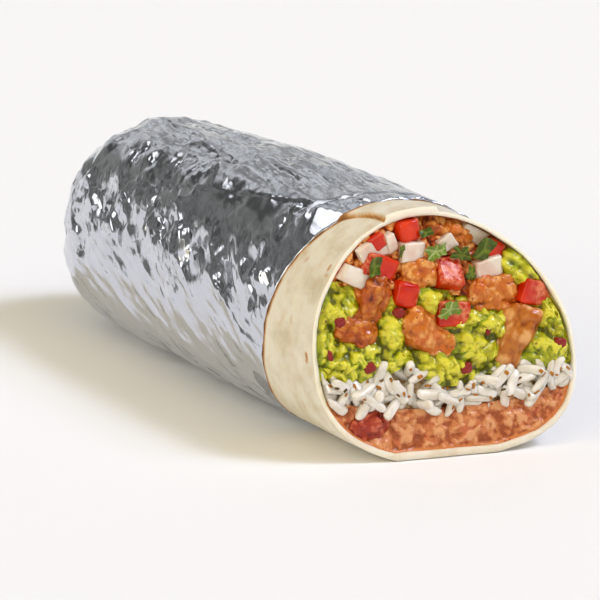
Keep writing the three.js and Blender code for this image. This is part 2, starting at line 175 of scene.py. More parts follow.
def knobs(points, size, shift=0.0, crease=0.0):
    """Round lumps pressed against each other: 1 on top of a lump, lower in the sharp creases between."""
    flat = points.reshape(-1, 3) / size + shift
    near, second = np.array([noise.voronoi(p)[0][:2] for p in flat.tolist()]).T
    lumps = np.clip(1 - near ** 2, 0, 1) - crease * (1 - np.clip((second - near) / 0.3, 0, 1)) ** 2
    return lumps.reshape(points.shape[:-1])


def strayed(points, size, amount, shift):
    """The points moved about by noise, so that a pattern read there loses its evenness."""
    return points + amount * np.stack([hills(points, size, 2, shift + k) for k in (0.0, 17.3, 41.9)], axis=-1)


def local_height(height, reach=9):
    """How far each point of a relief stands over the mean of the points around it."""
    around = height
    even = np.ones(2 * reach + 1) / (2 * reach + 1)
    for axis, border in enumerate([((reach, reach), (0, 0)), ((0, 0), (reach, reach))]):
        around = np.apply_along_axis(np.convolve, axis, np.pad(around, border, mode="edge"), even, "valid")
    return height - around


# %% Pieces from points
def show(name, data):
    """Puts a mesh or a camera into the scene."""
    thing = bpy.data.objects.new(name, data)
    bpy.context.scene.collection.objects.link(thing)
    return thing


def make_piece(name, points, faces, material, slot, replaced=(), marks=None):
    """A mesh object from points in mm; marks are values or vectors per point for its material to read."""
    mesh = bpy.data.meshes.new(name)
    placed = (np.asarray(points, float).reshape(-1, 3) + CENTRE) * MM
    mesh.from_pydata(placed.tolist(), [], [list(face) for face in np.asarray(faces, dtype=object)])
    mesh.validate()
    mesh.shade_smooth()
    for mark, values in (marks or {}).items():
        vector = np.ndim(values) == 2
        layer = mesh.attributes.new(mark, "FLOAT_VECTOR" if vector else "FLOAT", "POINT")
        layer.data.foreach_set("vector" if vector else "value", np.asarray(values, np.float32).ravel())
    mesh.materials.append(material)
    piece = show(name, mesh)
    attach(piece, "root")
    if replaced:
        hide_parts(*replaced)
    print(f"{name}: {len(mesh.vertices)} points, {len(mesh.polygons)} faces")


def face_list(*parts):
    return [face for part in parts for face in np.asarray(part).tolist()]


def tip_faces(ring_start, count, tip, outward):
    """Triangles from a ring to one closing point."""
    i = np.arange(count)
    near, far = ring_start + i, ring_start + (i + 1) % count
    end = np.full(count, tip)
    return np.stack([near, far, end] if outward else [far, near, end], axis=-1)


def tube_faces(rings, count):
    """Faces of a tube of rings that two more points close, first in front and then behind."""
    end = rings * count
    return face_list(
        grid_faces(rings, count), tip_faces(0, count, end, False), tip_faces(end - count, count, end + 1, True),
    )


# %% [markdown]
# ## Tools for making finishes
#
# A finish is a small tree of nodes round one Principled shader. One function adds a node, sets it and links
# it. Colours are written as sRGB hex values, as read off a screen, and turned into the linear values that
# Blender computes with. Pattern scales are written as sizes in millimetres: the object is in metres, so a
# pattern with features of s mm has the scale 1000 / s.

# %% Nodes and colours
def linear(hex_colour):
    channels = [int(hex_colour[k:k + 2], 16) / 255 for k in (1, 3, 5)]
    return [c / 12.92 if c <= 0.04045 else ((c + 0.055) / 1.055) ** 2.4 for c in channels] + [1.0]


def add(tree, kind, values=None, links=None, output=0, **settings):
    """Adds a node, sets its properties and its sockets' values, and links other nodes' outputs to it.

    What comes back is one of its own outputs, the first unless another is named.
    """
    made = tree.nodes.new("ShaderNode" + kind)
    for name, value in settings.items():
        setattr(made, name, value)
    for socket, value in (values or {}).items():
        made.inputs[socket].default_value = value
    for socket, source in (links or {}).items():
        tree.links.new(source, made.inputs[socket])
    return made.outputs[output] if made.outputs else None


def start_finish(name, **shader_values):
    """A material with a Principled shader, and its object coordinates for the patterns."""
    material = bpy.data.materials.new(name)
    material.use_nodes = True
    tree = material.node_tree
    shader = tree.nodes["Principled BSDF"]
    for socket, value in shader_values.items():
        shader.inputs[socket.replace("_", " ")].default_value = value
    return material, tree, shader, add(tree, "TexCoord", output="Object")


def per_mm(size):
    return 1000.0 / size


# Sockets of the Mix node when it mixes colours
FACTOR, FIRST, SECOND, MIXED = 0, 6, 7, 2


def patches(tree, place, size, low, high, most=1.0, detail=3.0):
    """Soft patches about size mm wide: 0 where the noise is under low, rising to most where it is over high."""
    cloud = add(tree, "TexNoise", {"Scale": per_mm(size), "Detail": detail}, {"Vector": place})
    return add(tree, "MapRange", {"From Min": low, "From Max": high, "To Max": most}, {"Value": cloud})


def marked(tree, mark, low=0.0, high=1.0, least=0.0, most=1.0):
    """The part of a mesh's own mark between low and high, spread from least to most."""
    read = add(tree, "Attribute", output="Fac", attribute_name=mark)
    reach = {"From Min": low, "From Max": high, "To Min": least, "To Max": most}
    return add(tree, "MapRange", reach, {"Value": read})


def painted(tree, under, over, share):
    """One colour painted over another where share says so; each is a hex value or another node's output."""
    sides = {FIRST: under, SECOND: over}
    fixed = {socket: linear(side) for socket, side in sides.items() if isinstance(side, str)}
    linked = {socket: side for socket, side in sides.items() if not isinstance(side, str)}
    return add(tree, "Mix", fixed, {FACTOR: share, **linked}, MIXED, data_type="RGBA")


def dress(tree, shader, colour, height, strength, depth_mm):
    """Gives a shader its colour, and a relief too fine for the mesh."""
    relief = add(tree, "Bump", {"Strength": strength, "Distance": depth_mm * MM}, {"Height": height})
    tree.links.new(colour, shader.inputs["Base Color"])
    tree.links.new(relief, shader.inputs["Normal"])


# %% [markdown]
# ## Camera
#
# The photograph was taken with a long lens from a little above, so the roll hardly narrows towards its far
# end. The place and the lens were fitted to the roll's outline.

# %% Camera
CAMERA_PLACE = Vector((-0.44665, -0.89338, 0.25307))
CAMERA_DOWN = 13.016     # degrees below the horizon
CAMERA_TURN = 26.852     # degrees from +Y towards +X
LENS = 210.0             # mm, on a 36 mm wide frame

lens = bpy.data.cameras.new("photo_lens")
lens.lens = LENS
lens.clip_start = 0.05
lens.clip_end = 60.0
camera = show("photo_camera", lens)
camera.location = CAMERA_PLACE
camera.rotation_euler = Euler((math.radians(90 - CAMERA_DOWN), 0, math.radians(-CAMERA_TURN)))
bpy.context.scene.camera = camera

# %% [markdown]
# ## Floor and light
#
# A pale sweep of paper carries the roll. The light is a studio's: a bright soft box on the right, which
# throws the soft shadow to the left, weaker ones on the left and behind, and a wide cream wall behind the
# camera, which fills the cut. It is seen past the studio's furniture, so it is uneven. The dim room above
# the backdrop matters as much, because foil shows nothing but what is round it.

# %% Floor
FLOOR_REACH = 9.0

paper = start_finish(
    "matt_backdrop_paper", Roughness=0.9, Specular_IOR_Level=0.15, Base_Color=linear("#F7F8F9"),
)[0]
floor_mesh = bpy.data.meshes.new("floor")
corners = [(x * FLOOR_REACH, y * FLOOR_REACH, 0.0) for x, y in ((-1, -1), (1, -1), (1, 1), (-1, 1))]
floor_mesh.from_pydata(corners, [], [(0, 1, 2, 3)])
floor_mesh.materials.append(paper)
show("floor", floor_mesh)

# %% Lights by direction
bpy.context.scene.view_settings.view_transform = "Standard"


def toward(turn, lift):
    """Direction with a compass turn from +Y towards +X and a lift over the horizon, in degrees."""
    turn, lift = math.radians(turn), math.radians(lift)
    return Vector((math.sin(turn) * math.cos(lift), math.cos(turn) * math.cos(lift), math.sin(lift)))


ROOM = linear("#74736F")
BACKDROP = linear("#F4F3EF")
BACKDROP_TOP, BACKDROP_FADE = 4.0, 5.0     # degrees over the horizon where the backdrop ends, and its soft end
FAR_WALLS = [            # turn, lift, half width in degrees, strength, colour; seen past the furniture
    (32, 18, 30, 0.42, "#E6EAEC"),
    (205, 52, 44, 0.72, "#FFEABA"),
]
SOFT_BOXES = [           # the same, seen clearly
    (133, 49, 13, 10.2, "#D4DEFF"),
    (133, 52, 4, 28.0, "#EAF0FF"),
    (-9, 44, 7, 1.6, "#FFFFFF"),
    (-62, 32, 11, 2.2, "#F8F8F6"),
    (-95, 17, 18, 2.5, "#FFF5DC"),
]
BOX_EDGE = 0.15          # how soft a box's edge is, as a share of its width

# %% Light from all round
world = bpy.data.worlds.new("studio")
bpy.context.scene.world = world
world.use_nodes = True
tree = world.node_tree
tree.nodes.clear()
ray = add(tree, "TexCoord", output="Generated")


def lit(light, boxes):
    """Adds soft boxes, seen in their directions, to the light that comes from all round."""
    for turn, lift, half_width, strength, colour in boxes:
        facing = add(
            tree, "VectorMath", {1: toward(turn, lift)}, {0: ray}, "Value", operation="DOT_PRODUCT",
        )
        outer, inner = (math.cos(math.radians(half_width * k)) for k in (1 + BOX_EDGE, 1 - BOX_EDGE))
        inside = add(
            tree, "MapRange", {"From Min": outer, "From Max": inner, "To Max": strength}, {"Value": facing},
            interpolation_type="SMOOTHSTEP",
        )
        glow = add(tree, "VectorMath", {0: linear(colour)[:3]}, {"Scale": inside}, operation="SCALE")
        light = add(tree, "VectorMath", links={0: light, 1: glow}, operation="ADD")
    return light


def uneven(light, scale, low, high, least, most):
    """Light broken up by noise that is stretched level with the horizon, as by things standing about."""
    level = add(tree, "VectorMath", {1: (1.0, 1.0, 2.6)}, {0: ray}, operation="MULTIPLY")
    things = add(tree, "TexNoise", {"Scale": scale, "Detail": 4.0}, {"Vector": level})
    reach = {"From Min": low, "From Max": high, "To Min": least, "To Max": most}
    share = add(tree, "MapRange", reach, {"Value": things})
    return add(tree, "VectorMath", links={0: light, "Scale": share}, operation="SCALE")


room = add(tree, "CombineXYZ", dict(enumerate(ROOM[:3])))
dark = add(tree, "CombineXYZ")
room = add(
    tree, "VectorMath", operation="ADD",
    links={0: uneven(room, 3.4, 0.36, 0.64, 0.5, 1.6), 1: uneven(lit(dark, FAR_WALLS), 6.5, 0.45, 0.55, 0.35, 1.9)},
)
lift = add(tree, "SeparateXYZ", links={0: ray}, output="Z")
fade = [math.sin(math.radians(BACKDROP_TOP + side * BACKDROP_FADE)) for side in (1, -1)]
below = add(
    tree, "MapRange", {"From Min": fade[0], "From Max": fade[1]}, {"Value": lift}, interpolation_type="SMOOTHSTEP",
)
light = add(tree, "Mix", {SECOND: BACKDROP}, {FACTOR: below, FIRST: room}, MIXED, data_type="RGBA")
background = add(tree, "Background", links={"Color": lit(light, SOFT_BOXES)})
add(tree, "OutputWorld", links={"Surface": background})
print("lights in the world:", len(FAR_WALLS), "far walls and", len(SOFT_BOXES), "soft boxes")

# %% [markdown]
# ## Foil wrap
#
# Household foil is rolled aluminium about 0.016 mm thick, bright on one side. Wrapped by hand round a soft
# roll it takes straight folds that never smooth out: long ones slanting round the roll and small ones
# where fingers pressed it. Bump alone gives foil a soft, liquid look. Here the folds are real: flat
# facets with sharp folds between them are added up at several sizes and moved out of the sheet. Beside the
# seam of the sheet, on the upper left, lies one larger facet that is pressed flat.

# %% Sizes of the folds
FOIL_AROUND, FOIL_ALONG = 330, 270         # points round the roll and along it
EVEN_PART = 0.7                            # their rings are even up to here and closer near the end
FOIL_CLOSING = 0.3                         # the last ring stops this far before the tip
MEAN_RADIUS = 36.0
STREAK_TWIST, STREAK_STRETCH = 0.0117, 3.5  # radians per mm along the roll, and how far streaks are drawn out
DENT_HEIGHT = 1.8
FINGER_DENTS = [           # angle in degrees, distance along the roll, radius and depth
    (163, 134.5, 6.5, 0.8), (154, 103, 5, 0.6), (163, 80, 6.5, 0.75), (162, 61, 5, 0.7), (153, 48, 5, 0.6),
    (172, 95, 5, 0.4), (140, 139, 9, 0.45), (125, 146, 5, 0.5), (131, 42, 5, 0.5), (150, 118, 4, 0.5),
    (166, 40, 5, 0.5), (132, 120, 6, 0.35), (128, 100, 7, 0.3), (155, 150, 7, 0.6), (172, 158, 7, 0.6),
]


# %% Facets, pulled patterns and dents
def corner_height(corner, seed):
    """A random height from -1 to 1 that belongs to a corner of the facets' lattice, mixed by large primes."""
    mixed = (corner * [73856093, 19349663, 83492791]).sum(axis=-1) + seed * 668265263
    mixed = (mixed ^ (mixed >> 13)) * 1274126177 & 0x7FFFFFFF
    return (mixed ^ (mixed >> 15)) % 65536 / 32767.5 - 1


def facets(points, size, seed):
    """Flat facets with sharp folds between them: heights at random corners, joined by flat faces."""
    scaled = points / size
    scaled = scaled + scaled.sum(axis=-1, keepdims=True) / 3
    corner = np.floor(scaled).astype(np.int64)
    inside = scaled - corner
    order = np.argsort(-inside, axis=-1)
    far, middle, near = (np.take_along_axis(inside, order[..., k:k + 1], axis=-1)[..., 0] for k in range(3))
    second = corner + (np.arange(3) == order[..., 0:1])
    third = second + (np.arange(3) == order[..., 1:2])
    return (
        corner_height(corner, seed) * (1 - far) + corner_height(second, seed) * (far - middle)
        + corner_height(third, seed) * (middle - near) + corner_height(corner + 1, seed) * near
    )


def pulled(points, angle, y, twist, stretch):
    """The foil's points with Y shortened and twisted, so that a pattern read there runs in long slants."""
    far = np.hypot(points[..., 0], points[..., 2] - MIDDLE_HEIGHT)
    turned_angle = angle + twist * y
    return np.stack([far * np.cos(turned_angle), y / stretch, far * np.sin(turned_angle)], axis=-1)


def finger_dents(angle, y, ragged):
    """The dents' relief, and how much each point belongs to one."""
    dents, dented = np.zeros(y.shape), np.zeros(y.shape)
    for dent_angle, dent_y, radius, depth in FINGER_DENTS:
        away = np.hypot((angle - math.radians(dent_angle)) * MEAN_RADIUS, y - dent_y) / radius + ragged
        dents += DENT_HEIGHT * depth * (away ** 2 - 0.6) * np.exp(-(away ** 2))
        dented = np.maximum(dented, bell(away, 0.6, 0.8))
    return dents, dented


# %% Smooth foil
theta = ring_angles(FOIL_AROUND)
share = np.linspace(0, 1, FOIL_ALONG, endpoint=False)[:, None]
left_over = 1 - EVEN_PART
easing = np.where(
    share < EVEN_PART, share, EVEN_PART + left_over * np.sin((share - EVEN_PART) / left_over * math.pi / 2),
)
edge_ring = roll_point(theta, foil_edge_y(theta), 0)
edge = foil_edge_y(theta) + 0.5 * hills(edge_ring, 5, 2, 3.0) + 0.35 * hills(edge_ring, 1.8, 1, 8.0)
rows_y = mix(edge, LENGTH - FOIL_CLOSING, easing)
angle = np.broadcast_to(theta, rows_y.shape)
degrees = np.degrees(angle)
smooth_foil = roll_point(angle, rows_y, 0.0)
print("foil edge from", edge.min().round(1), "to", edge.max().round(1), "mm behind the cut's middle")

# %% Crumpled parts and rippled parts
drift = np.stack([facets(smooth_foil, 17, k) for k in (1, 2, 3)], axis=-1)
dents, dented = finger_dents(angle, rows_y, 0.14 * drift[..., 0])
worked = smooth(hills(smooth_foil, 15, 2, 70.0), 0.0, 0.35)
low_side = smooth(degrees, 160, 178)
upper = np.maximum(bell(degrees, 93, 23), 0.8 * bell(degrees, 58, 22))
crumpled = 0.75 * bell(degrees, 158, 14) + 0.7 * smooth(rows_y, 172, 190) + 0.5 * dented
crumpled = crumpled + 0.7 * bell(degrees, 36, 26)
crumpled = np.clip(crumpled * (0.75 + 0.5 * worked) + 0.15 * worked * bell(angle, math.radians(125), 0.5), 0, 1)
streaked = np.clip(0.7 * np.maximum(low_side, smooth(np.cos(angle), 0.8, 0.95)), 0, 1)
combed = np.clip(upper * (0.9 + 0.5 * worked), 0, 1.2)
print("crumpled", crumpled.mean().round(2), "and combed", combed.mean().round(2), "on average")

# %% Facets of several sizes
bent = smooth_foil + 2.5 * drift
slanted = pulled(smooth_foil, angle, rows_y, STREAK_TWIST, STREAK_STRETCH) + 1.2 * drift
drawn = pulled(smooth_foil, angle, rows_y, 0.003, 10.0)
relief = (
    0.5 * facets(bent, 21, 5)
    + 0.65 * facets(slanted, 6.0, 6) * (0.3 + 0.7 * low_side + 0.6 * upper)
    + 0.34 * facets(slanted, 2.6, 7) * (0.15 + 0.85 * low_side + 0.3 * upper)
    + 0.8 * facets(drawn + 0.8 * drift, 3.6, 12) * upper
    + 0.95 * facets(bent, 8.5, 8) * crumpled
    + 0.34 * facets(bent, 3.2, 9) * np.clip(0.1 + crumpled, 0, 1)
    + 1.1 * facets(bent, 20, 10) * smooth(rows_y, 158, 180)
    + 0.8 * facets(bent, 8, 11) * smooth(rows_y, 148, 172)
    + dents
)
print("facets and dents", relief.min().round(2), relief.max().round(2), "mm")

# %% Seam, its folded edge and the flat facet beside it
SEAM_FROM, SEAM_TO = math.radians(116), math.radians(134)
SEAM_ENDS = 100.0
SEAM_STEP = 0.5
SEAM_WIDTH = 0.012                         # radians
LOWEST, HIGHEST = -0.85, 0.75              # the relief's ends, in mm
FACET_TOP, FACET_BOTTOM = 114, 134         # the flat facet beside the seam, in degrees
FACET_WIDENS = 0.006                       # radians per mm
FACET_LENGTH, FACET_SLANT = 14, 43         # mm, and mm per radian
FOLD_AT, FOLD_Y = math.radians(119), 38.5  # a point on the seam's bright folded edge

seam = mix(SEAM_FROM, SEAM_TO, (rows_y - FOIL_EDGE) / (SEAM_ENDS - FOIL_EDGE))
overlap = SEAM_STEP * smooth(seam - angle, -SEAM_WIDTH, SEAM_WIDTH) * bell(degrees, 90, 50)
from_edge = rows_y - edge
facet_end = FACET_LENGTH - FACET_SLANT * (angle - math.radians(121))
facet_top = math.radians(FACET_TOP) + FACET_WIDENS * from_edge
pressed = smooth(angle, facet_top, facet_top + 0.018) * smooth(degrees, FACET_BOTTOM, FACET_BOTTOM - 1)
pressed = pressed * smooth(from_edge, facet_end, facet_end - 0.8)
from_line = 0.53 * MEAN_RADIUS * (angle - FOLD_AT) - 0.85 * (rows_y - FOLD_Y)
folded = smooth(np.abs(from_line), 1.5, 0.9) * smooth(degrees, 128, 121) * (from_edge > 0.8)
flat = MEAN_RADIUS * (1 / np.cos(np.minimum(np.abs(angle - math.radians(123)), 0.3)) - 1)
relief = mix(relief + overlap, -0.7 + 1.3 * from_edge / 12 + flat, pressed)

# Flat on the table, closed at the far end, and close to the tortilla at its edge
underneath = smooth(np.sin(-angle), 0.55, 0.9)
relief = np.clip(relief - 0.3 * (1 - pressed), LOWEST, HIGHEST) * (1 - underneath) * smooth(share, 0.985, 0.94)
relief = np.maximum(relief, -0.1 - 0.4 * np.maximum(from_edge, 0))
outside = smooth_foil + relief[..., None] * grid_normals(smooth_foil)
outside[..., 2] = np.maximum(outside[..., 2], 0)
print("foil relief", relief.min().round(2), relief.max().round(2), "mm")

# %% Foil mesh
FOIL_EDGE_INSET = 0.45

lining_share = np.array([0.94, 0.85, 0.7, 0.4, 0.15, 0])[:, None]
lining_y = mix(edge, LENGTH - FOIL_BUILD_UP, lining_share)
lining = roll_point(theta, lining_y, np.where(lining_share > 0, FOIL_BUILD_UP, FOIL_EDGE_INSET))
tips = [roll_point(0.0, LENGTH - depth, depth) for depth in (0.0, FOIL_BUILD_UP)]
foil_points = np.concatenate([outside.reshape(-1, 3), tips, lining.reshape(-1, 3)])
outer_count = FOIL_ALONG * FOIL_AROUND
lining_start = outer_count + 2
last_lining = lining_start + (len(lining) - 1) * FOIL_AROUND
i = np.arange(FOIL_AROUND)
following = (i + 1) % FOIL_AROUND
foil_faces = face_list(
    grid_faces(FOIL_ALONG, FOIL_AROUND)[:, ::-1],
    tip_faces(outer_count - FOIL_AROUND, FOIL_AROUND, outer_count, False),
    grid_faces(len(lining), FOIL_AROUND)[:, ::-1] + lining_start,
    tip_faces(lining_start, FOIL_AROUND, outer_count + 1, True),
    np.stack([following, last_lining + following, last_lining + i, i], axis=-1),
)

# %% [markdown]
# ### Finish: rolled aluminium, hand-crumpled
#
# Bare aluminium reflects about nine tenths of the light with hardly any colour. Rolling leaves it very
# smooth, so the roughness is low, a little higher where handling dulled it. The finest creases, too small
# for the mesh, are cells that each tilt the surface their own way. They are small and round where the
# foil is crumpled and drawn out into ripples elsewhere.

# %% Foil finish
FACET_LAYERS = [         # pattern, mask, size in mm, tilt where the mask is 0 and where it is 1
    ("drawn", "combed", 3.4, 0.02, 0.56),
    ("drawn", "combed", 1.6, 0.01, 0.34),
    ("sheet", "streaked", 2.6, 0.02, 0.4),
    ("sheet", "streaked", 1.3, 0.01, 0.24),
    ("rumpled", "crumpled", 5.2, 0.03, 0.56),
    ("rumpled", "crumpled", 2.2, 0.03, 0.4),
]
FOLD_FACING = (-0.53, -0.12, 0.85)         # how the seam's bright folded edge faces
LEANS_ALONG = {"drawn": 0.25, "sheet": 0.25, "rumpled": 0.8}     # ripples lean across the roll, not along it
DULLEST, BRIGHTEST = 0.2, 0.09             # roughness

foil, tree, shader, place = start_finish(
    "rolled_aluminium_foil_crumpled", Metallic=1.0, Base_Color=linear("#CBCED7"),
)
dulling = add(tree, "TexNoise", {"Scale": per_mm(14), "Detail": 3.0}, {"Vector": place})
reach = {"From Min": 0.35, "From Max": 0.7, "To Min": BRIGHTEST, "To Max": DULLEST}
tree.links.new(add(tree, "MapRange", reach, {"Value": dulling}), shader.inputs["Roughness"])
outward = add(tree, "NewGeometry", output="Normal")
for where, mask, size, least_tilt, most_tilt in FACET_LAYERS:
    pattern = add(tree, "Attribute", output="Vector", attribute_name=where)
    stray = add(tree, "TexNoise", {"Scale": 0.5 / size, "Detail": 1.0}, {"Vector": pattern}, "Color")
    moved = add(tree, "VectorMath", {1: (1.1 * size,) * 3}, {0: stray, 2: pattern}, operation="MULTIPLY_ADD")
    cell = add(tree, "TexVoronoi", {"Scale": 1 / size}, {"Vector": moved}, "Color")
    across = np.array([1.0, LEANS_ALONG[where], 1.0])
    leaning = add(tree, "VectorMath", {1: across, 2: -0.5 * across}, {0: cell}, operation="MULTIPLY_ADD")
    tilt = marked(tree, mask, least=least_tilt, most=most_tilt)
    leaning = add(tree, "VectorMath", links={0: leaning, "Scale": tilt}, operation="SCALE")
    outward = add(tree, "VectorMath", links={0: outward, 1: leaning}, operation="ADD")
fold = add(tree, "VectorMath", {0: FOLD_FACING}, {"Scale": marked(tree, "folded", most=4.0)}, operation="SCALE")
outward = add(tree, "VectorMath", links={0: outward, 1: fold}, operation="ADD")
tree.links.new(add(tree, "VectorMath", links={0: outward}, operation="NORMALIZE"), shader.inputs["Normal"])

foil_marks = {name: foil_points.copy() for name in ("sheet", "rumpled", "drawn")}
foil_marks["sheet"][:outer_count] = pulled(smooth_foil, angle, rows_y, STREAK_TWIST, STREAK_STRETCH).reshape(-1, 3)
foil_marks["rumpled"][:outer_count] = pulled(smooth_foil, angle, rows_y, 0.016, 1.8).reshape(-1, 3)
foil_marks["drawn"][:outer_count] = drawn.reshape(-1, 3)
loose = 1 - pressed
for name, mask, inside in (
    ("crumpled", crumpled * loose, 0.3), ("streaked", streaked * loose, 0.3), ("combed", combed * loose, 0.0),
    ("folded", folded, 0.0),
):
    foil_marks[name] = np.full(len(foil_points), inside)
    foil_marks[name][:outer_count] = mask.ravel()
make_piece("foil_wrap_sheet", foil_points, foil_faces, foil, "foil", ["foil_wrap"], foil_marks)

# %% [markdown]
# ## Tortilla
#
# A large wheat-flour tortilla is rolled round the filling, folded in at the far end and cut through with a
# knife. One layer shows at the cut. On top, the sheet's last edge lies over the roll as a lifted strip,
# and both of its borders carry a brown line that is partly the toasted fold and partly painted shade along
# it; the brown line along the foil's edge is partly toasting and partly painted shade of the gap under the
# foil. The skin is a fine grid, because these lines are only half a millimetre wide and are painted as a
# value on its points.

# %% Lifted strip and toast marks
FLAP_HEIGHT = 1.4
FLAP_EDGE = 0.014                          # radians
TORTILLA_AROUND, SKIN_ROWS, WALL_ROWS = 440, 74, 18
WALL_DEPTH = 10.0
STRIP_BORDERS = [        # left and right: angle at the cut and how far it turns, then where and over what length
    (111, 20, 8, 20), (87.8, 26, 6, 16.3),
]
TOAST_SPOTS = [          # angle in degrees, distance from the cut's middle, size round and along, strength
    (142, 10.8, 1.0, 0.7, 0.6), (145.5, 10.1, 0.6, 1.3, 0.4), (181, 8.8, 1.7, 0.9, 0.85), (143, 23.0, 1.2, 1.0, 0.3),
    (168, 19.0, 1.6, 1.0, 0.25), (205, 16.0, 2.0, 1.0, 0.25), (40, 14.0, 1.4, 1.8, 0.6), (20, 20.0, 1.0, 1.6, 0.5),
    (345, 12.0, 1.6, 1.2, 0.6), (66, 10.0, 0.8, 1.4, 0.5), (318, 16.0, 1.2, 1.8, 0.4), (228, 12.0, 1.8, 1.2, 0.4),
]


def strip_borders(y):
    """Angles of the lifted strip's left and right borders, which run back to the left."""
    return [
        np.radians(start + turn * np.clip((y - first) / length, 0, 1) ** 2.5)
        for start, turn, first, length in STRIP_BORDERS
    ]


def skin_inset(angle, y):
    left, right = strip_borders(y)
    lifted = smooth(angle, right - FLAP_EDGE, right + FLAP_EDGE) * smooth(left - angle, -0.016, 0.012)
    under_foil = smooth(y - foil_edge_y(angle), -0.2, 1.4)
    return mix(TORTILLA_INSET - FLAP_HEIGHT * lifted, FOIL_BUILD_UP + GAP, under_foil)


def skin_toast_and_painted_shade(angle, y, points):
    """0 for pale dough, up to 1 for a brown mark: toasted spots, and lines that are partly toasting and partly painted
    shade.
    """
    left, right = strip_borders(y)
    patchy = 0.65 + 0.5 * hills(points, 3.0, 2, 4.0)
    # A brown line along the foil's edge: partly toasting, partly painted shade of the gap under the foil.
    toast_and_painted_shade = bell(foil_edge_y(angle) - y, 0.3, 0.8) * np.clip(patchy + 0.25, 0, 1)
    # Brown lines along the lifted strip's borders: partly the toasted fold, partly painted shade beside it.
    toast_and_painted_shade += 0.95 * bell((angle - left) * MEAN_RADIUS, 0.5, 0.5) * np.clip(patchy + 0.2, 0, 1)
    toast_and_painted_shade += 0.85 * bell((angle - right) * MEAN_RADIUS, -0.45, 0.5) * np.clip(patchy + 0.1, 0, 1)
    for spot_angle, spot_y, around, along, strength in TOAST_SPOTS:
        off = (angle - math.radians(spot_angle) + math.pi) % (2 * math.pi) - math.pi
        distance = np.hypot(off * MEAN_RADIUS / around, (y - spot_y) / along)
        ragged = distance + 0.5 * hills(points, 1.4, 2, 20.0 + spot_angle)
        toast_and_painted_shade += strength * smooth(ragged, 1.25, 0.35)
    return np.clip(toast_and_painted_shade, 0, 1)


theta = ring_angles(TORTILLA_AROUND)
front, back = cut_y(theta), foil_edge_y(theta) + 3.0
skin_y = mix(front, back, np.linspace(0, 1, SKIN_ROWS)[:, None])
skin_angle = np.broadcast_to(theta, skin_y.shape)
skin = roll_point(skin_angle, skin_y, skin_inset(skin_angle, skin_y))
toast_and_painted_shade = skin_toast_and_painted_shade(skin_angle, skin_y, skin)
soft_relief = 0.16 * hills(skin, 11.0, 2, 1.0) + 0.05 * hills(skin, 3.0, 2, 2.0)
resting = smooth(np.sin(-skin_angle), 0.6, 0.9)
skin = skin + (soft_relief * (1 - resting))[..., None] * grid_normals(skin)

# %% Rim, inner wall and hidden roll
RIM_SHARES = (0.12, 0.3, 0.5, 0.7, 0.88)   # the rim's rings, from the skin to the inner wall
RIM_SWELL = 0.32
ring = roll_point(theta, front, 0.0)
waver = 0.28 * hills(ring, 9.0, 2, 6.0) + 0.12 * hills(ring, 2.5, 1, 7.0)      # the knife's cut isn't quite plane
skin[..., 1] += waver * smooth(skin_y - front, 3.0, 0.0)
inner_front = cavity_point(theta, front, 0.0)
outward = (inner_front - [0, 0, MIDDLE_HEIGHT]) / MEAN_RADIUS * [1, 0, 1]
inner_front = inner_front + (0.22 * hills(inner_front, 6.0, 2, 9.0))[:, None] * outward
rim_rows = []
for t in RIM_SHARES:
    row = mix(skin[0], inner_front + waver[:, None] * ALONG_Y, t)
    row[:, 1] -= RIM_SWELL * math.sqrt(1 - (2 * t - 1) ** 2) + 0.06 * hills(row, 1.5, 1, 12.0 + t)
    rim_rows.append(row)
wall_depth = np.linspace(0.25, WALL_DEPTH, WALL_ROWS)[:, None]
wall = cavity_point(theta, front + wall_depth, 0.0)
wall[..., 1] += waver * smooth(wall_depth, 3.0, 0.0)
wall -= (0.15 * hills(wall, 7.0, 2, 10.0))[..., None] * grid_normals(wall)
deep = cavity_point(theta, np.array([22, 32, 42, 90, 140, CAVITY_END])[:, None], 0.0)
end_y = LENGTH - FOIL_BUILD_UP - GAP
under = roll_point(theta, mix(back, end_y, np.array([0.94, 0.85, 0.7, 0.4, 0.12])[:, None]), FOIL_BUILD_UP + GAP)

rings = [*under, *skin[::-1], *rim_rows, *wall, *deep]
tortilla_points = np.concatenate([*rings, [[0, end_y, MIDDLE_HEIGHT], [0, CAVITY_END, MIDDLE_HEIGHT]]])
# The rim's lighter cream is partly the dough's pale inside and partly painted light; towards the bottom of the roll it
# fades away as painted shade.
pale_cut_painted_light_and_shade = 1 - 0.85 * smooth(np.sin(-theta), 0.2, 0.8)
juice = smooth(wall_depth + 1.2 * hills(wall, 5.0, 2, 14.0), 0.6, 3.2)
rim_ring = len(under) + SKIN_ROWS
tortilla_marks = {}
for name, first_ring, values in (
    ("toast_and_painted_shade", len(under), toast_and_painted_shade[::-1]), ("cut", rim_ring - 1, np.tile(pale_cut_painted_light_and_shade, (len(rim_rows) + 2, 1))),
    ("stain", rim_ring + len(rim_rows), juice),
):
    mark = np.zeros(len(tortilla_points))
    mark[first_ring * TORTILLA_AROUND:][:values.size] = values.ravel()
    tortilla_marks[name] = mark

# %% [markdown]
# ### Finish: griddled wheat dough
#
# Wheat dough is cream white, matt and a little translucent, so light bleeds through its thin rim. The
# griddle leaves faint beige clouds and a few orange-brown marks. Where it was toasted it is drier.

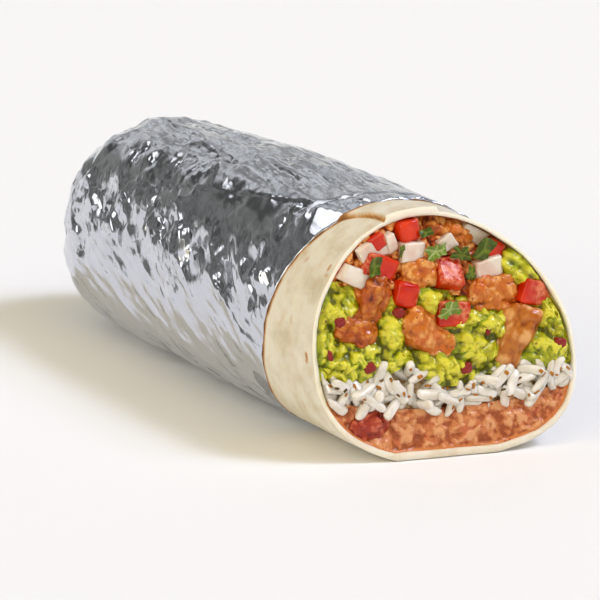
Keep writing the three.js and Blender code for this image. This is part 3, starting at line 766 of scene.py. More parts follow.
# %% Tortilla finish
dough, tree, shader, place = start_finish(
    "griddled_wheat_dough", Roughness=0.62, Specular_IOR_Level=0.35, Subsurface_Weight=0.3,
    Subsurface_Scale=0.0015, Subsurface_Radius=(1.0, 0.7, 0.4),
)
flour = patches(tree, place, 1.6, 0.5, 0.75, 0.5)
skin_colour = "#E2DBCA"
for over, share in (
    ("#CDC0A4", patches(tree, place, 9, 0.42, 0.68, detail=4.0)),
    ("#E9E3D2", flour),
    ("#CCA67C", patches(tree, place, 3.2, 0.56, 0.76, 0.4)),
    # The cut's lighter cream: partly the dough's own paleness, partly painted light, fading towards the bottom as
    # painted shade.
    ("#F1EAD8", marked(tree, "cut")),
    ("#DAC680", marked(tree, "stain")),
    # The browns of the toast mark: toasted spots, and lines that are partly painted shade at the foil's edge and the
    # strip's borders.
    ("#C38F52", marked(tree, "toast_and_painted_shade", 0.05, 0.6)),
    ("#84501F", marked(tree, "toast_and_painted_shade", 0.55, 1.0)),
):
    skin_colour = painted(tree, skin_colour, over, share)
dress(tree, shader, skin_colour, flour, 0.5, 0.3)
tortilla_faces = tube_faces(len(rings), TORTILLA_AROUND)
make_piece("tortilla_roll", tortilla_points, tortilla_faces, dough, "tortilla", ["tortilla"], tortilla_marks)

# %% [markdown]
# ## The soft layers of the filling
#
# Mashed beans, rice, guacamole and shredded chicken lie on each other and run the whole length of the roll.
# Each is one closed solid: a fine grid over its part of the cut, and a plain skin running back from the
# grid's border. The relief of the cut stands along the cut's own outward direction. Soft food breaks into
# lumps rather than waves, so most of it is round knobs of two or three sizes.

# %% Levels between the layers
GRID_STEP = 0.32                                     # mm between the points of a cut face
CUT_OUT = np.array([CUT_ACROSS, -1, CUT_UP]) / math.sqrt(1 + CUT_ACROSS ** 2 + CUT_UP ** 2)
BACK_SHRINK = 0.1                                    # how much narrower the filling is at its far end
TOUCHING = -0.15                                     # the soft layers press into the tortilla this far


def rice_bottom(x):
    return 12.6 + 5 * (x / 36) ** 2


def rice_top(x):
    return 22.4 + 3.6 * bell(x, -11.5, 5) - 3 * bell(x, 1, 8)


def guacamole_top(x):
    return 45.5 + 2.5 * bell(x, -30, 12) - 3 * bell(x, 10, 12)


def filling_y(x, z):
    """The filling lies further back towards the upper right, where the bare wall shows."""
    hollow = 0.4 + 6.8 * np.clip((0.68 * x + 0.88 * (z - 45)) / 36, 0, 1)
    return CUT_ACROSS * x + CUT_UP * (z - MIDDLE_HEIGHT) + hollow


def from_middle(points, clearance):
    """Each point's distance from the roll's middle line, and how far the tortilla's inner wall is that way."""
    x, height = points[..., 0], points[..., 2] - MIDDLE_HEIGHT
    wall = cavity_point(np.arctan2(height, x) % (2 * math.pi), np.maximum(points[..., 1], 0), clearance)
    return np.hypot(x, height), np.hypot(wall[..., 0], wall[..., 2] - MIDDLE_HEIGHT)


def keep_inside(points, clearance=GAP):
    """Draws points that would pierce the tortilla back to its inner wall."""
    distance, reach = from_middle(points, clearance)
    squeeze = np.minimum(1, reach / np.maximum(distance, 1e-6))
    height = points[..., 2] - MIDDLE_HEIGHT
    return np.stack([points[..., 0] * squeeze, points[..., 1], MIDDLE_HEIGHT + height * squeeze], axis=-1)


# %% Layers as solids
def layer_grid(lower, upper):
    """Points over a layer's part of the cut, from left to right and from its lower level to its upper."""
    around = np.linspace(0, 2 * math.pi, 721)
    outline = cavity_point(around, cut_y(around), TOUCHING)
    turn = np.argmax(outline[:, 0])
    outline = np.roll(outline[:-1], -turn, axis=0)
    leftmost = np.argmin(outline[:, 0])
    top, bottom = outline[:leftmost + 1][::-1].copy(), outline[leftmost:].copy()
    for edge in (top, bottom):
        edge[:, 0] = np.maximum.accumulate(edge[:, 0])
    x = np.linspace(outline[:, 0].min(), outline[:, 0].max(), 1500)
    low = np.maximum(lower(x), np.interp(x, bottom[:, 0], bottom[:, 2]))
    high = np.minimum(upper(x), np.interp(x, top[:, 0], top[:, 2]))
    there = x[high - low > 0.15]
    columns = int(1.25 * (there[-1] - there[0]) / GRID_STEP)
    rows = int((high - low).max() / GRID_STEP)
    u = np.linspace(0, 1, columns)
    x_grid = mix(there[0], there[-1], mix(u, 0.5 - 0.5 * np.cos(math.pi * u), 0.7))
    v = np.linspace(0, 1, rows)[:, None]
    z_grid = mix(np.interp(x_grid, x, low)[None, :], np.interp(x_grid, x, high)[None, :], v)
    x_grid = np.broadcast_to(x_grid, z_grid.shape)
    return np.stack([x_grid, filling_y(x_grid, z_grid), z_grid], axis=-1)


def layer_solid(grid):
    """Closes a cut face into a solid that runs back along the roll."""
    rows, columns = grid.shape[:2]
    first = rows * columns
    index = np.arange(first).reshape(rows, columns)
    border = np.concatenate([index[0, :-1], index[:-1, -1], index[-1, :0:-1], index[:0:-1, 0]])
    count = len(border)
    depths = np.array([14.0, 40.0, 100.0, CAVITY_END - 1])[:, None, None]
    narrow = 1 - BACK_SHRINK * depths / CAVITY_END
    middle = np.array([0, 0, MIDDLE_HEIGHT])
    across = np.array([1, 0, 1])
    rings = grid.reshape(-1, 3)[border] * across * narrow + depths * ALONG_Y + middle * (1 - narrow)
    points = np.concatenate([grid.reshape(-1, 3), rings.reshape(-1, 3), rings[-1].mean(axis=0)[None]])
    i = np.arange(count)
    following = (i + 1) % count
    faces = face_list(
        grid_faces(rows, columns, closed=False)[:, ::-1],
        np.stack([first + i, first + following, border[following], border], axis=-1),
        grid_faces(len(rings), count)[:, ::-1] + first,
        tip_faces(len(points) - 1 - count, count, len(points) - 1, False),
    )
    return points, faces


def make_layer(name, lower, upper, relief, finish, slot, replaced, lean=0.0):
    """A layer with relief on its cut face. How far each point stands over its surroundings sets the painted shade and
    painted light of its finish.
    """
    grid = layer_grid(lower, upper)
    height = relief(grid)
    distance, reach = from_middle(grid, 0.0)
    most = 0.5 + smooth(grid[..., 0], 10, 25)
    height = mix(np.clip(height, -0.1, most), height, smooth(reach - distance, 0.1, 1.3))
    # Kept as the mark "height": the finish paints shade where a point lies low and light where it stands high.
    standing = local_height(height)
    share = np.clip(0.5 + standing / (3.2 * standing.std()), 0, 1)
    grid = grid + height[..., None] * CUT_OUT
    if lean:
        grid[..., 2] += lean * hills(grid, 3.0, 2, 40.0) * smooth(reach - distance, 0.2, 2.0)
    points, faces = layer_solid(keep_inside(grid, TOUCHING))
    marks = {mark: np.zeros(len(points)) for mark in ("height", "border")}
    marks["height"][:share.size] = share.ravel()
    marks["border"][:share.size] = 0.8 * smooth(reach - distance, 1.3, 0.2).ravel()
    return make_piece(name, points, faces, finish, slot, replaced, marks)


# %% [markdown]
# ### Finish for moist food
#
# All the soft fillings are finished the same way: a body colour mottled by noise with another of the food's
# own colours, a darker colour painted as shade in the dents and a lighter one painted as light on the tops;
# a little light passing under the surface; and a thin wet film, which the coat gives. Some carry specks of
# spice. Only colours and sizes differ, so one function builds them all.

# %% Finish for moist food
# The dents' colour is painted shade and the tops' colour painted light; these are the levels where each begins.
SHADED_DENTS, LIT_TOPS = (0.33, 0.72), (0.76, 1.2)   # where a dent's colour gives way to the body's, and that to a top's


def moist_food(name, shaded_dent, body, other, top, size=2.4, rough=0.36, wet=0.6, under=0.15, grain=0.5, depth=0.4,
               mark="height", specks=None, border=None):
    """Painted shade in dents, own colours in the body, painted light on tops; specks: a colour with its size and share
    of the surface.
    """
    material, tree, shader, place = start_finish(
        name, Roughness=rough, Specular_IOR_Level=0.12, Coat_Weight=wet, Coat_Roughness=0.06, Coat_IOR=1.36,
        Subsurface_Weight=under, Subsurface_Scale=0.0012, Subsurface_Radius=(1.0, 0.5, 0.25),
    )
    stood = add(tree, "Attribute", output="Fac", attribute_name=mark)
    mottle = patches(tree, place, size, 0.3, 0.7, 0.5, 4.0)
    level = add(tree, "Math", links={0: stood, 1: mottle}, operation="ADD")
    deep, painted_light_on_tops = (
        add(tree, "MapRange", {"From Min": low, "From Max": high}, {"Value": level}, interpolation_type="SMOOTHSTEP")
        for low, high in (SHADED_DENTS, LIT_TOPS)
    )
    colour = painted(tree, body, other, patches(tree, place, 3 * size, 0.45, 0.62))
    # Painted shade: the dent colour where a point lies deep; painted light: the top colour where it stands high.
    colour = painted(tree, shaded_dent, colour, deep)
    colour = painted(tree, colour, top, painted_light_on_tops)
    if border:
        colour = painted(tree, colour, border, marked(tree, "border"))
    if specks:
        speck_colour, speck_size, share = specks
        specked = patches(tree, place, speck_size, 0.7 - share, 0.76 - share, 0.8, 1.0)
        colour = painted(tree, colour, speck_colour, specked)
    fine = add(tree, "TexNoise", {"Scale": per_mm(grain), "Detail": 2.0}, {"Vector": place})
    dress(tree, shader, colour, fine, 0.5, depth)
    return material


# %% [markdown]
# ### Refried beans
#
# Pinto beans mashed with fat: a pinkish brown paste with smears, dents and a few skins. It is pressed
# against the tortilla and fills the bottom of the roll.

# %% Refried beans
BEAN_BED = (-21.2, 9.6, 6.5, 3.8, 1.8)    # the hollow round the whole bean: middle, half width and height, depth


def mound(points, middle_x, middle_z, half_width, half_height, height):
    """A round rise on the cut, as an amount for each point."""
    off = np.hypot((points[..., 0] - middle_x) / half_width, (points[..., 2] - middle_z) / half_height)
    return height * bell(off, 0, 1)


def bean_relief(points):
    loose = strayed(points, 6.0, 1.8, 55.0)
    smears = 0.4 * facets(loose, 7.0, 51) + 0.5 * facets(loose, 3.2, 52) + 0.4 * hills(points, 9.0, 1, 50.0)
    lumps = 0.6 * knobs(loose, 5.0, 52.0, 0.2) + 0.4 * knobs(loose, 2.2, 53.0, 0.4)
    return smears + lumps + 0.3 * hills(points, 1.3, 3, 54.0) - mound(points, *BEAN_BED) - 0.8


bean_paste = moist_food(
    "mashed_pinto_beans", "#A0522A", "#C87C48", "#C26C44", "#DA9C6A", 1.8, rough=0.36, wet=0.7, grain=0.5,
    depth=0.4, specks=("#A03A20", 1.6, 0.03), border="#CE7C3C",
)
make_layer(
    "bean_mash", lambda x: -20 + 0 * x, lambda x: rice_bottom(x) + 0.5, bean_relief, bean_paste, "refried_beans",
    ["refried_beans"], lean=0.3,
)

# %% [markdown]
# ### Guacamole
#
# Avocado mashed by hand keeps lumps of two to five millimetres. It is yellow-green where the light catches
# it and olive where it is deep. It swells out between the chunks of chicken, in the mounds listed here.

# %% Guacamole
MOUNDS = [      # middle x and z, half width, half height, how far it swells out
    (-30.5, 41, 5.25, 4.725, 2.4), (-33, 33, 3.15, 6.3, 2.2), (-26, 27, 8.4, 4.725, 2.6),
    (-13.8, 34, 3.57, 5.775, 2.8), (-14, 26, 4.2, 4.2, 2.4), (-2.9, 41.6, 3.15, 3.15, 3.4),
    (12.5, 34.5, 7.35, 3.78, 2.6), (8, 28.5, 5.25, 4.725, 3.0), (1, 23.0, 6.3, 3.78, 3.0),
    (32.5, 35, 4.2, 5.25, 3.6), (31.5, 27, 5.775, 4.2, 3.6), (33.5, 31, 4.2, 3.57, 3.2),
]


def guacamole_relief(points):
    mounds = np.max([mound(points, *row) for row in MOUNDS], axis=0)
    loose = strayed(points, 3.4, 1.6, 64.0)
    lumps = 1.6 * knobs(loose, 4.4, 61.0, 0.16) + 0.95 * knobs(loose, 2.1, 62.0, 0.1)
    lumps = lumps + 0.42 * knobs(loose, 1.0, 63.0)
    right = smooth(points[..., 0], 12, 24)
    return mounds + lumps * (0.95 + 0.15 * mounds) * (1 - 0.25 * right) - 1.9 + 0.5 * right


avocado = moist_food(
    "mashed_avocado", "#5C6000", "#AEAA0A", "#92A20A", "#DAD43E", 2.2, rough=0.34, wet=1.0, under=0.12, grain=0.6,
    depth=0.3, specks=("#6E3A10", 1.0, 0.015),
)
make_layer(
    "guacamole_mash", lambda x: rice_top(x) - 0.8, lambda x: guacamole_top(x) + 0.6, guacamole_relief, avocado,
    "guacamole", ["guacamole"], lean=0.4,
)

# %% [markdown]
# ### Chicken between the chunks
#
# The upper part of the roll is packed with small scraps of the same grilled chicken as the chunks.

# %% Chicken filling
def scrap_relief(points):
    loose = strayed(points, 4.0, 1.2, 74.0)
    lumps = 1.7 * knobs(loose, 4.0, 71.0, 0.4) + 0.9 * knobs(loose, 1.8, 72.0, 0.3)
    return lumps + 0.2 * hills(points, 0.9, 2, 73.0) - 1.6


scraps = moist_food(
    "grilled_chicken_scraps", "#7A2A04", "#C4661A", "#CC5410", "#E8A458", 2.4, wet=1.0, depth=0.3,
    specks=("#8A2406", 1.2, 0.03),
)
make_layer(
    "chicken_scraps", lambda x: guacamole_top(x) - 0.4, lambda x: 90 + 0 * x, scrap_relief, scraps, "chicken",
    ["chicken_filling"], lean=0.4,
)

# %% [markdown]
# ## Rice
#
# Cooked long-grain rice: white grains 7 to 9 mm long and about 2.5 mm thick, blunt at the ends, some bowed.
# They lie at every angle over a core coloured darker and browner than the grains, as painted shade in the
# gaps between them. One grain is made as a rounded, stretched ball and then copied with its own size, bow
# and lean. All the grains are one piece.

# %% Rounded block
def block(cuts):
    """Points on the skin of a cube from -0.5 to 0.5, with its faces, to be rounded and stretched."""
    shape = bmesh.new()
    bmesh.ops.create_cube(shape, size=1.0)
    bmesh.ops.subdivide_edges(shape, edges=shape.edges[:], cuts=cuts, use_grid_fill=True)
    points = np.array([v.co[:] for v in shape.verts])
    faces = [[v.index for v in face.verts] for face in shape.faces]
    shape.free()
    return points, faces


def as_ball(points):
    return 0.5 * points / np.linalg.norm(points, axis=1, keepdims=True)


def turned(points, tilt=0.0, spin=0.0, turn=0.0):
    """Tilts about X, spins about Z, then turns in the plane of the cut, in degrees."""
    turning = Euler((math.radians(tilt), -math.radians(turn), math.radians(spin)), "XZY").to_matrix()
    return points @ np.array(turning).T


def join_copies(copies):
    """Several meshes, each with its points and faces, as one."""
    faces, start = [], 0
    for points, copy_faces in copies:
        faces += [[start + k for k in face] for face in copy_faces]
        start += len(points)
    return np.concatenate([points for points, _ in copies]), faces


# %% Rice
GRAIN_LENGTH, GRAIN_WIDTH, GRAIN_COUNT = 8.8, 2.7, 90
GRAIN_LEANS = [          # place across the cut, and how the grains mostly lean there, in degrees
    (-35, 80), (-28, 20), (-22, 95), (-16, 10), (-11, 35), (-4, 85), (3, 60), (9, 50), (16, 110), (24, 40),
    (36, 150),
]
GRAIN_LEVELS = [0.12, 0.86, 0.5, 0.3, 0.7]


def rice_grains():
    random = np.random.default_rng(31)
    cube, faces = block(6)
    ball = as_ball(cube)
    lean_x, lean_angle = zip(*GRAIN_LEANS)
    copies = []
    for i in range(GRAIN_COUNT):
        x = mix(-35.5, 36.5, (i + 0.6 * random.random()) / GRAIN_COUNT)
        level = GRAIN_LEVELS[i % 5] + 0.12 * random.normal()
        z = mix(rice_bottom(x), rice_top(x), np.clip(level, -0.05, 1.06))
        lean = np.interp(x, lean_x, lean_angle) + 48 * random.normal()
        length = GRAIN_LENGTH * random.uniform(0.74, 1.08)
        width = GRAIN_WIDTH * random.uniform(0.9, 1.14)
        p = 0.5 * np.sign(ball) * np.abs(2 * ball) ** [0.72, 0.72, random.uniform(0.36, 0.55)]
        taper = 1 - random.uniform(0.0, 0.34) * (p[:, 2] + 0.5) ** 2
        bow = random.uniform(-0.8, 0.8) * (1 - 4 * p[:, 2] ** 2)
        round_part = p[:, :2] * [width, 0.84 * width] * taper[:, None]
        grain = np.column_stack([round_part[:, 0] + bow, round_part[:, 1], p[:, 2] * length])
        grain += 0.1 * hills(grain + 9.0 * i, 2.4, 1)[:, None]
        grain = turned(grain, 18 * random.normal(), 35 * random.normal(), lean)
        depth = 1.5 - 2.9 * ((i * 7) % 10) / 9
        grain += [x, filling_y(x, z) + depth, z]
        copies.append((keep_inside(grain, GAP + 0.1), faces))
    return join_copies(copies)


grain_points, grain_faces = rice_grains()
rice, tree, shader, place = start_finish(
    "steamed_long_grain_rice", Roughness=0.28, Specular_IOR_Level=0.3, Coat_Weight=0.7, Coat_Roughness=0.06,
    Subsurface_Weight=0.45, Subsurface_Scale=0.0014, Subsurface_Radius=(1.0, 0.95, 0.85),
)
starch = patches(tree, place, 3.0, 0.35, 0.7)
dress(tree, shader, painted(tree, "#DAD3C4", "#F0ECE4", starch), starch, 0.3, 0.12)
make_piece("rice_grains", grain_points, grain_faces, rice, "rice", ["rice"])

# The core behind the grains is coloured darker than they are: painted shade in the gaps between them.
rice_core_painted_shade_finish = moist_food(
    "rice_core_painted_shade", "#7A4A1C", "#A87A44", "#B89468", "#D2BC98", 2.0, rough=0.45, wet=0.3, under=0.3,
)
make_layer(
    "rice_core", lambda x: rice_bottom(x) + 0.2, lambda x: rice_top(x) - 0.2,
    lambda p: 0.9 * knobs(p, 2.4, 81.0) - 2.2, rice_core_painted_shade_finish, "rice", ["rice"],
)

# %% [markdown]
# ### Herb flecks
#
# Dried herbs cooked with the rice: flat brown-green flakes of a millimetre or so. Each is dropped onto the
# grains from in front of the cut, and lies along the surface that it meets.

# %% Herb flecks
FLECK_COUNT = 42


def herb_flecks():
    random = np.random.default_rng(8)
    cube, faces = block(2)
    heap = BVHTree.FromPolygons(grain_points.tolist(), grain_faces)
    copies = []
    for i in range(FLECK_COUNT):
        x = mix(-34.0, 35.0, (i + random.random()) / FLECK_COUNT)
        z = mix(rice_bottom(x), rice_top(x), random.uniform(0.05, 0.95))
        spot, normal, _, _ = heap.ray_cast(Vector((x, filling_y(x, z) - 20, z)), Vector(ALONG_Y))
        if spot is None:
            continue
        size = np.array([random.uniform(0.8, 1.7), random.uniform(0.5, 1.0), 0.18])
        spun = Euler((0, 0, random.uniform(0, 3))).to_matrix()
        lying = np.array(normal.to_track_quat("Z", "Y").to_matrix() @ spun)
        flake = (0.4 * cube + 0.7 * as_ball(cube) + 0.06 * random.normal(size=cube.shape)) * size
        copies.append((flake @ lying.T + np.array(spot) + 0.03 * np.array(normal), faces))
    return join_copies(copies)


dried_herb, tree, shader, place = start_finish("dried_herb_flakes", Roughness=0.6, Specular_IOR_Level=0.3)
flecked = painted(tree, "#54400E", "#B07020", patches(tree, place, 4.0, 0.38, 0.46, detail=1.0))
dress(tree, shader, flecked, patches(tree, place, 0.6, 0.3, 0.7), 0.4, 0.1)
make_piece("herb_flecks", *herb_flecks(), dried_herb, "cilantro")

# %% [markdown]
# ## Diced tomato and onion, chicken chunks and coriander leaves
#
# Every loose piece takes the place, size and turn of its CAD solid; some are shifted by up to 3 mm to sit
# as in the photograph. Diced pieces are blocks with rounded edges, one side of them cut flesh and the
# others skin. Chunks are lumpy balls. Leaves are thin sheets.

# %% Places of the pieces
PIECES = {
    # name: (middle x and z on the cut), size across, up and deep, turn, how far it stands proud, and its form
    "cilantro_1": ((-19, 52.6), (3.6, 5.0), -4, 4.6, {"form": "chopped"}),
    "cilantro_2": ((-10.5, 55.6), (1.6, 3.4), 4, 3.4, {"form": "chopped"}),
    "cilantro_3": ((-3, 60), (3.4, 2.2), 20, 4.4, {"form": "chopped"}),
    "cilantro_4": ((-1, 55), (7.4, 5.4), 12, 4.6, {"form": "frilly", "pale": True}),
    "cilantro_5": ((6.8, 53.6), (6.8, 4.8), -24, 4.4, {"form": "lobed"}),
    "cilantro_6": ((8.7, 48.4), (3.4, 5.0), -6, 4.2, {"form": "lobed"}),
    "cilantro_7": ((14, 54.2), (4.8, 6.4), -32, 4.2, {"form": "chopped"}),
    "cilantro_8": ((0.6, 39.8), (8.6, 5.0), 4, 5.0, {"form": "frilly", "pale": True}),
    "onion_1": ((-24.4, 50.2), (8.6, 9.2, 5), -24, 3.2, {"bow": 0.5}),
    "onion_2": ((-7, 55.2), (6.6, 4.8, 5), 2, 3, {}),
    "onion_3": ((-12.9, 57.9), (3, 8.6, 5), 24, 2.6, {"bow": 0.4}),
    "onion_4": ((-18, 56.2), (8.6, 2.6, 5), 16, 2, {}),
    "onion_5": ((3.9, 56.4), (4.6, 4.6, 4), 30, 2.6, {}),
    "onion_6": ((15, 49), (8, 6.8, 5), 10, 3, {}),
    "onion_7": ((13, 58.3), (7.6, 3.6, 5), -42, 2, {}),
    "tomato_1": ((-6.9, 60.8), (6.6, 6.4, 7), 14, 3.4, {"soft": 1.9}),
    "tomato_2": ((-16.6, 58.6), (4.4, 3, 4.6), 30, 2.6, {}),
    "tomato_3": ((-16.4, 52), (9.6, 8.6, 6), -18, 2.6, {"flesh": (-0.9, -0.3, 0)}),
    "tomato_4": ((-9.8, 44), (6.8, 7.4, 7), -18, 3.4, {"soft": 1.6}),
    "tomato_5": ((3.0, 47.4), (7.6, 8.4, 8.4), -8, 4.4, {"tilt": -38, "flesh": (0, -1, 0)}),
    "tomato_6": ((3.1, 38), (9.8, 7.4, 7), -6, 2.4, {"flesh": (0.3, -0.8, 0.5)}),
    "tomato_7": ((28.4, 41.4), (11.6, 6.8, 7), -16, 4.4, {"spin": 12, "flesh": (0.4, -0.9, 0.2)}),
    "tomato_8": ((18.2, 53.4), (4.8, 4, 5), -30, 2.4, {}),
    "chicken_1": ((-18.8, 42.6), (9.4, 14.6, 9), -16, 3.6, {"taper": (0, 0.1), "lumpy": 1.1}),
    "chicken_2": ((-23.6, 35.2), (13.0, 9.4, 8), -30, 3.2, {"lumpy": 1.2}),
    "chicken_3": ((-5, 48.8), (12, 8, 8), -4, 2.8, {"lumpy": 1.2}),
    "chicken_4": ((-3.4, 32.3), (21, 11, 9), -36, 3.4, {"taper": (-0.25, 0), "lumpy": 0.9, "bend": 0.8}),
    "chicken_5": ((15.8, 42.2), (15, 11.4, 9), -4, 3.4, {"lumpy": 1.3}),
    "chicken_6": ((21.4, 30.6), (19, 10, 9), 60, 3.6, {"square": 0.66, "lumpy": 0.4, "taper": (0.3, 0), "bend": -1.6}),
    "chicken_7": ((8.2, 57.8), (7.8, 4.8, 6), -34, 2.8, {}),
    "chicken_8": ((1.4, 60.2), (7.2, 4.4, 6), -8, 2.2, {}),
    "guacamole_dollop": ((26.0, 48.0), (12.2, 9.6, 8), -40, 5.4, {"lumpy": 0.9, "ridges": 0.55, "painted_light_shift": 0.12}),
    "bean_piece": ((-21.2, 9.6), (12, 6.6, 6), 8, 1.2, {"lumpy": 1.0}),
}


def pieces_of(kinds):
    """The listed pieces of some kinds: name, kind, size, form, a number of its own, and its place in the cut."""
    for seed, (name, (at, size, turn, proud, form)) in enumerate(PIECES.items()):
        kind = name.split("_")[0]
        if kind in kinds:
            yield name, kind, size, form, seed, (at, turn, proud, form.get("tilt", 0.0), form.get("spin", 0.0))


def put_in_place(points, at, turn, proud, tilt=0.0, spin=0.0):
    """Turns a piece and sets it in the cut, standing proud of the soft filling by the given amount."""
    x, z = at
    points = turned(points, tilt, spin, turn)
    return keep_inside(points + [x, filling_y(x, z) - proud - points[:, 1].min(), z], GAP + 0.1)


# %% Diced pieces
def diced(size, seed, soft=0.7, bow=0.0):
    """A block with rounded edges and knife-cut, slightly uneven sides."""
    random = np.random.default_rng(seed)
    cube, faces = block(11)
    size = np.array(size, float)
    edge = np.minimum(soft, 0.45 * size.min())
    whole = cube * size
    core = np.clip(whole, edge - size / 2, size / 2 - edge)
    out = whole - core
    length = np.maximum(np.linalg.norm(out, axis=1, keepdims=True), 1e-6)
    points = core + out / length * edge
    shear = random.uniform(-0.22, 0.22, size=2)
    points[:, 0] += shear[0] * points[:, 2]
    points[:, 2] *= 1 + shear[1] * points[:, 0] / size[0]
    points[:, 1] += bow * (4 * (points[:, 2] / size[2]) ** 2 - 0.5)
    side = cube * 2
    points += (0.22 * hills(points + 31.0 * seed, 3.2, 2))[:, None] * side
    return points, faces, side


# %% [markdown]
# ### Finish: ripe tomato
#
# Skin is smooth, waxy and deep orange-red; it shines. A cut side shows paler, wet flesh mottled with pink
# and with lighter walls between the seed chambers. The mesh says how much of each point is flesh.

# %% Tomato finish
def tomato_finish():
    material, tree, shader, place = start_finish(
        "ripe_tomato_diced", Roughness=0.26, Specular_IOR_Level=0.2, Coat_Weight=0.7, Coat_Roughness=0.06,
        Coat_IOR=1.36, Subsurface_Weight=0.2, Subsurface_Scale=0.0015, Subsurface_Radius=(1.0, 0.25, 0.12),
    )
    skin = painted(tree, "#BE1800", "#DC3604", patches(tree, place, 7.0, 0.35, 0.65, detail=2.0))
    cells = patches(tree, place, 1.6, 0.4, 0.58)
    flesh = marked(tree, "flesh")
    wet = add(tree, "Math", links={0: flesh, 1: cells}, operation="MULTIPLY")
    dress(tree, shader, painted(tree, skin, painted(tree, "#C42A0C", "#E07A50", cells), flesh), wet, 0.6, 0.5)
    return material


# %% [markdown]
# ### Finish: raw white onion
#
# Onion is watery and half clear: white with a hint of pink from the tomato's juice, fine lines along its
# layers and a wet shine.

# %% Onion finish
def onion_finish():
    material, tree, shader, place = start_finish(
        "raw_white_onion_diced", Roughness=0.28, Specular_IOR_Level=0.3, Coat_Weight=0.8, Coat_Roughness=0.06,
        Subsurface_Weight=0.45, Subsurface_Scale=0.002, Subsurface_Radius=(1.0, 0.85, 0.75),
    )
    waves = {"Scale": per_mm(1.6) / 20, "Distortion": 3.0, "Detail": 2.0}
    lines = add(tree, "TexWave", waves, {"Vector": place}, wave_type="BANDS", bands_direction="DIAGONAL")
    line_share = add(tree, "MapRange", {"From Min": 0.6, "To Max": 0.3}, {"Value": lines})
    flesh = painted(tree, "#E8DECE", "#DEBEAC", patches(tree, place, 6.0, 0.42, 0.64, detail=2.0))
    dress(tree, shader, painted(tree, flesh, "#D2BEA8", line_share), lines, 0.12, 0.2)
    return material


# %% Dice in place
finishes = {"tomato": tomato_finish(), "onion": onion_finish()}
softness = {"tomato": 0.8, "onion": 0.45}
for name, kind, size, form, seed, place_in_cut in pieces_of(finishes):
    points, faces, side = diced(size, seed, form.get("soft", softness[kind]), form.get("bow", 0.0))
    flesh = smooth(side @ np.array(form.get("flesh", (1, 0, 0)), float), 0.55, 0.9)
    placed = put_in_place(points, *place_in_cut)
    make_piece(name + "_dice", placed, faces, finishes[kind], kind, [name], {"flesh": flesh})

# %% [markdown]
# ### Red onion in the guacamole
#
# The guacamole has small bits of red onion mashed into it, too small to be solids of their own.

# %% Red onion bits
RED_ONION_BITS = [       # middle x and z, size across, up and deep, turn, how far it stands out
    ((-29.2, 38.6), (3.0, 4.4, 3), 20, 3.3), ((-12.6, 39.5), (2.8, 5.0, 3), 38, 3.3),
    ((-22.0, 25.8), (3.4, 3.0, 3), 30, 3.3), ((5.0, 23.6), (3.6, 2.6, 3), 15, 3.3),
    ((32.4, 28.2), (4.0, 3.2, 3), -10, 4.8), ((-33.0, 30.0), (1.6, 1.6, 3), 0, 3.3),
    ((11.8, 33.6), (2.2, 1.4, 3), 40, 3.3),
]

red_onion = []
for k, (at, size, turn, proud) in enumerate(RED_ONION_BITS):
    points, faces, _ = diced(size, 60 + k, 1.1)
    red_onion.append((put_in_place(points, at, turn, proud), faces))
red_onion_finish = moist_food(
    "red_onion_chopped", "#8A2420", "#B0443A", "#A4302E", "#DC9A86", 1.4, rough=0.3, under=0.3, mark="none",
)
make_piece("red_onion_bits", *join_copies(red_onion), red_onion_finish, "onion")

# %% [markdown]
# ### Chicken chunks, the dollop of guacamole and the whole bean
#
# Grilled chicken in a chilli marinade: torn, knobbly lumps with an oily orange glaze, browned at the
# edges, with flat sides where it was cut. One piece shows its pale, smooth inside. The lumps come from the
# same knobs as the soft layers, so that chunks and scraps belong together.

# %% Lumps in place
RIDGE_SPACING = 2.4


def lump(size, seed, square=0.72, lumpy=1.0, taper=(0, 0), ridges=0.0, bend=0.0, painted_light_shift=0.0):
    """A torn chunk: a ball drawn towards a block, with planes and knobs; also how high each point stands, for painted
    shade and painted light.
    """
    cube, faces = block(30)
    ball = as_ball(cube)
    out = ball * 2
    points = 0.5 * np.sign(ball) * np.abs(out) ** square * np.array([size[0], size[2], size[1]], float)
    across, up = points[:, 0] / size[0], points[:, 2] / size[1]
    points[:, 2] *= 1 + taper[0] * across
    points[:, 0] *= 1 + taper[1] * up
    points[:, 2] += bend * (4 * across ** 2 - 0.5)
    far = points + 40.0 * seed
    torn = strayed(far, 4.0, 1.1, 90.0)
    form = 0.9 * facets(torn, 6.0, seed) + 1.1 * hills(far, 6.5, 1)
    relief = 1.1 * knobs(torn, 3.6, 0.0, 0.25) + 0.5 * knobs(torn, 1.8, 0.0, 0.15) - 0.75
    relief += 0.2 * hills(far * [0.4, 1, 1], 1.0, 2)
    relief += ridges * np.cos(2 * math.pi * points[:, 2] / RIDGE_SPACING)
    # How high a point stands sets painted shade in its dents and painted light on its tops; the shift added last
    # lightens a whole piece as painted light.
    height = np.clip(0.45 + 0.5 * relief + painted_light_shift, 0, 1)
    return points + (form + lumpy * 0.85 * relief)[:, None] * out, faces, height


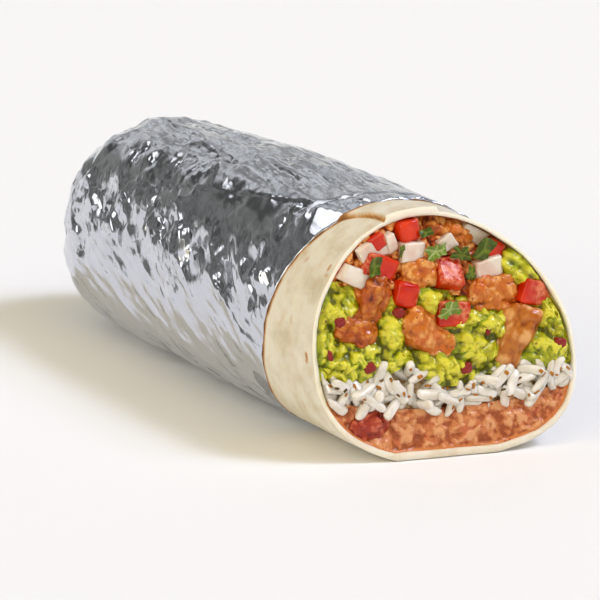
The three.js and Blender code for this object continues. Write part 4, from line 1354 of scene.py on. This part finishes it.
chicken = moist_food(
    "grilled_chicken_glazed", "#7E3204", "#C86E1A", "#C86014", "#E8A85C", 2.4, wet=1.0, depth=0.3,
    specks=("#8A2C06", 1.3, 0.02),
)
browned_chicken = moist_food(
    "grilled_chicken_browned", "#742800", "#AE5408", "#AE4A06", "#D4883A", 2.4, wet=1.0, depth=0.3,
    specks=("#7A2404", 1.3, 0.03),
)
pale_chicken = moist_food(
    "grilled_chicken_pale_side", "#8C3E04", "#B86C1E", "#B4601A", "#DEA462", 5.0, wet=1.0, depth=0.12,
)
red_bean = moist_food(
    "cooked_red_bean", "#5A1006", "#9C3018", "#8A2410", "#CC6A48", 2.0, rough=0.3, wet=0.8, depth=0.2,
)
lump_finishes = {
    "chicken": chicken, "guacamole": avocado, "bean": red_bean, "chicken_6": pale_chicken,
    "chicken_1": browned_chicken, "chicken_2": browned_chicken, "chicken_8": browned_chicken,
}
for name, kind, size, form, seed, place_in_cut in pieces_of(("chicken", "guacamole", "bean")):
    points, faces, height = lump(size, seed, **form)
    placed = put_in_place(points, *place_in_cut)
    finish = lump_finishes.get(name, lump_finishes[kind])
    make_piece(name + "_lump", placed, faces, finish, kind, [name], {"height": height})

# %% [markdown]
# ### Coriander leaves
#
# Fresh coriander: thin, soft leaves with frilly lobes, and chopped bits with straight edges. A leaf is a
# sheet of rings round its middle, about 0.4 mm thick, curled and creased along its veins.

# %% Leaves
LEAF_AROUND, LEAF_RINGS, LEAF_THICKNESS = 96, 12, 0.4


def leaf_border(angle, form, seed):
    """Distance from the middle to the border, for a leaf that is 1 across."""
    if form == "chopped":
        box = np.maximum(np.abs(np.cos(angle)), np.abs(np.sin(angle)))
        return 0.5 / box * (1 + 0.08 * np.sin(2 * angle + seed) + 0.05 * np.sin(5 * angle + 2 * seed))
    lobes, depth = {"frilly": (3, 0.18), "lobed": (4, 0.24)}[form]
    warped = angle + 0.4 * np.sin(angle + seed)
    teeth = 0.09 * np.cos(9 * warped + seed) + 0.07 * np.cos(17 * warped + 2 * seed) + 0.03 * np.cos(31 * angle)
    return 0.5 * (0.8 + depth * np.cos(lobes * warped + 2 * seed) + teeth)


def leaf(size, seed, form):
    angle = ring_angles(LEAF_AROUND)
    border = leaf_border(angle, form, seed)
    share = np.linspace(0, 1, LEAF_RINGS + 1)[1:, None]
    x = size[0] * border * np.cos(angle) * share
    z = size[1] * border * np.sin(angle) * share
    veins = np.abs(np.sin((3 if form == "chopped" else 5) * angle / 2)) * share
    curl = 0.12 * (x ** 2 + z ** 2) / max(size) + 0.35 * np.sin(1.1 * x + seed) + 0.3 * np.cos(1.3 * z + 2 * seed)
    front = np.stack([x, curl - 0.18 * veins, z], axis=-1)
    back = front + (LEAF_THICKNESS * (1 - 0.5 * share ** 4))[..., None] * ALONG_Y
    rings = np.concatenate([front, back[::-1]])
    middle = 0.3 * math.cos(2 * seed)
    points = np.concatenate([rings.reshape(-1, 3), [[0, middle, 0], [0, middle + LEAF_THICKNESS, 0]]])
    mark = np.concatenate([veins.ravel(), veins[::-1].ravel(), [0, 0]])
    return points, tube_faces(2 * LEAF_RINGS, LEAF_AROUND), mark


# %% Coriander finish
def coriander_finish(name, blade, vein):
    material, tree, shader, place = start_finish(
        name, Roughness=0.38, Specular_IOR_Level=0.2, Coat_Weight=0.35, Coat_Roughness=0.1,
        Subsurface_Weight=0.25, Subsurface_Scale=0.0006, Subsurface_Radius=(0.6, 1.0, 0.1),
    )
    green = painted(tree, blade, vein, marked(tree, "vein", 0.3, 0.0, most=0.75))
    green = painted(tree, green, vein, patches(tree, place, 1.6, 0.52, 0.7, 0.6))
    dress(tree, shader, green, patches(tree, place, 2.0, 0.3, 0.7), 0.5, 0.3)
    return material


fresh_leaf = coriander_finish("fresh_coriander_dark", "#3F5202", "#7C8A1E")
# Some leaves are a paler green than the rest.
pale_leaf = coriander_finish("fresh_coriander_underside", "#6C8420", "#BCC888")
for name, kind, size, form, seed, place_in_cut in pieces_of(["cilantro"]):
    points, faces, veins = leaf(size, seed, form["form"])
    placed = put_in_place(points, *place_in_cut)
    finish = pale_leaf if "pale" in form else fresh_leaf
    make_piece(name + "_leaf", placed, faces, finish, kind, [name], {"vein": veins})
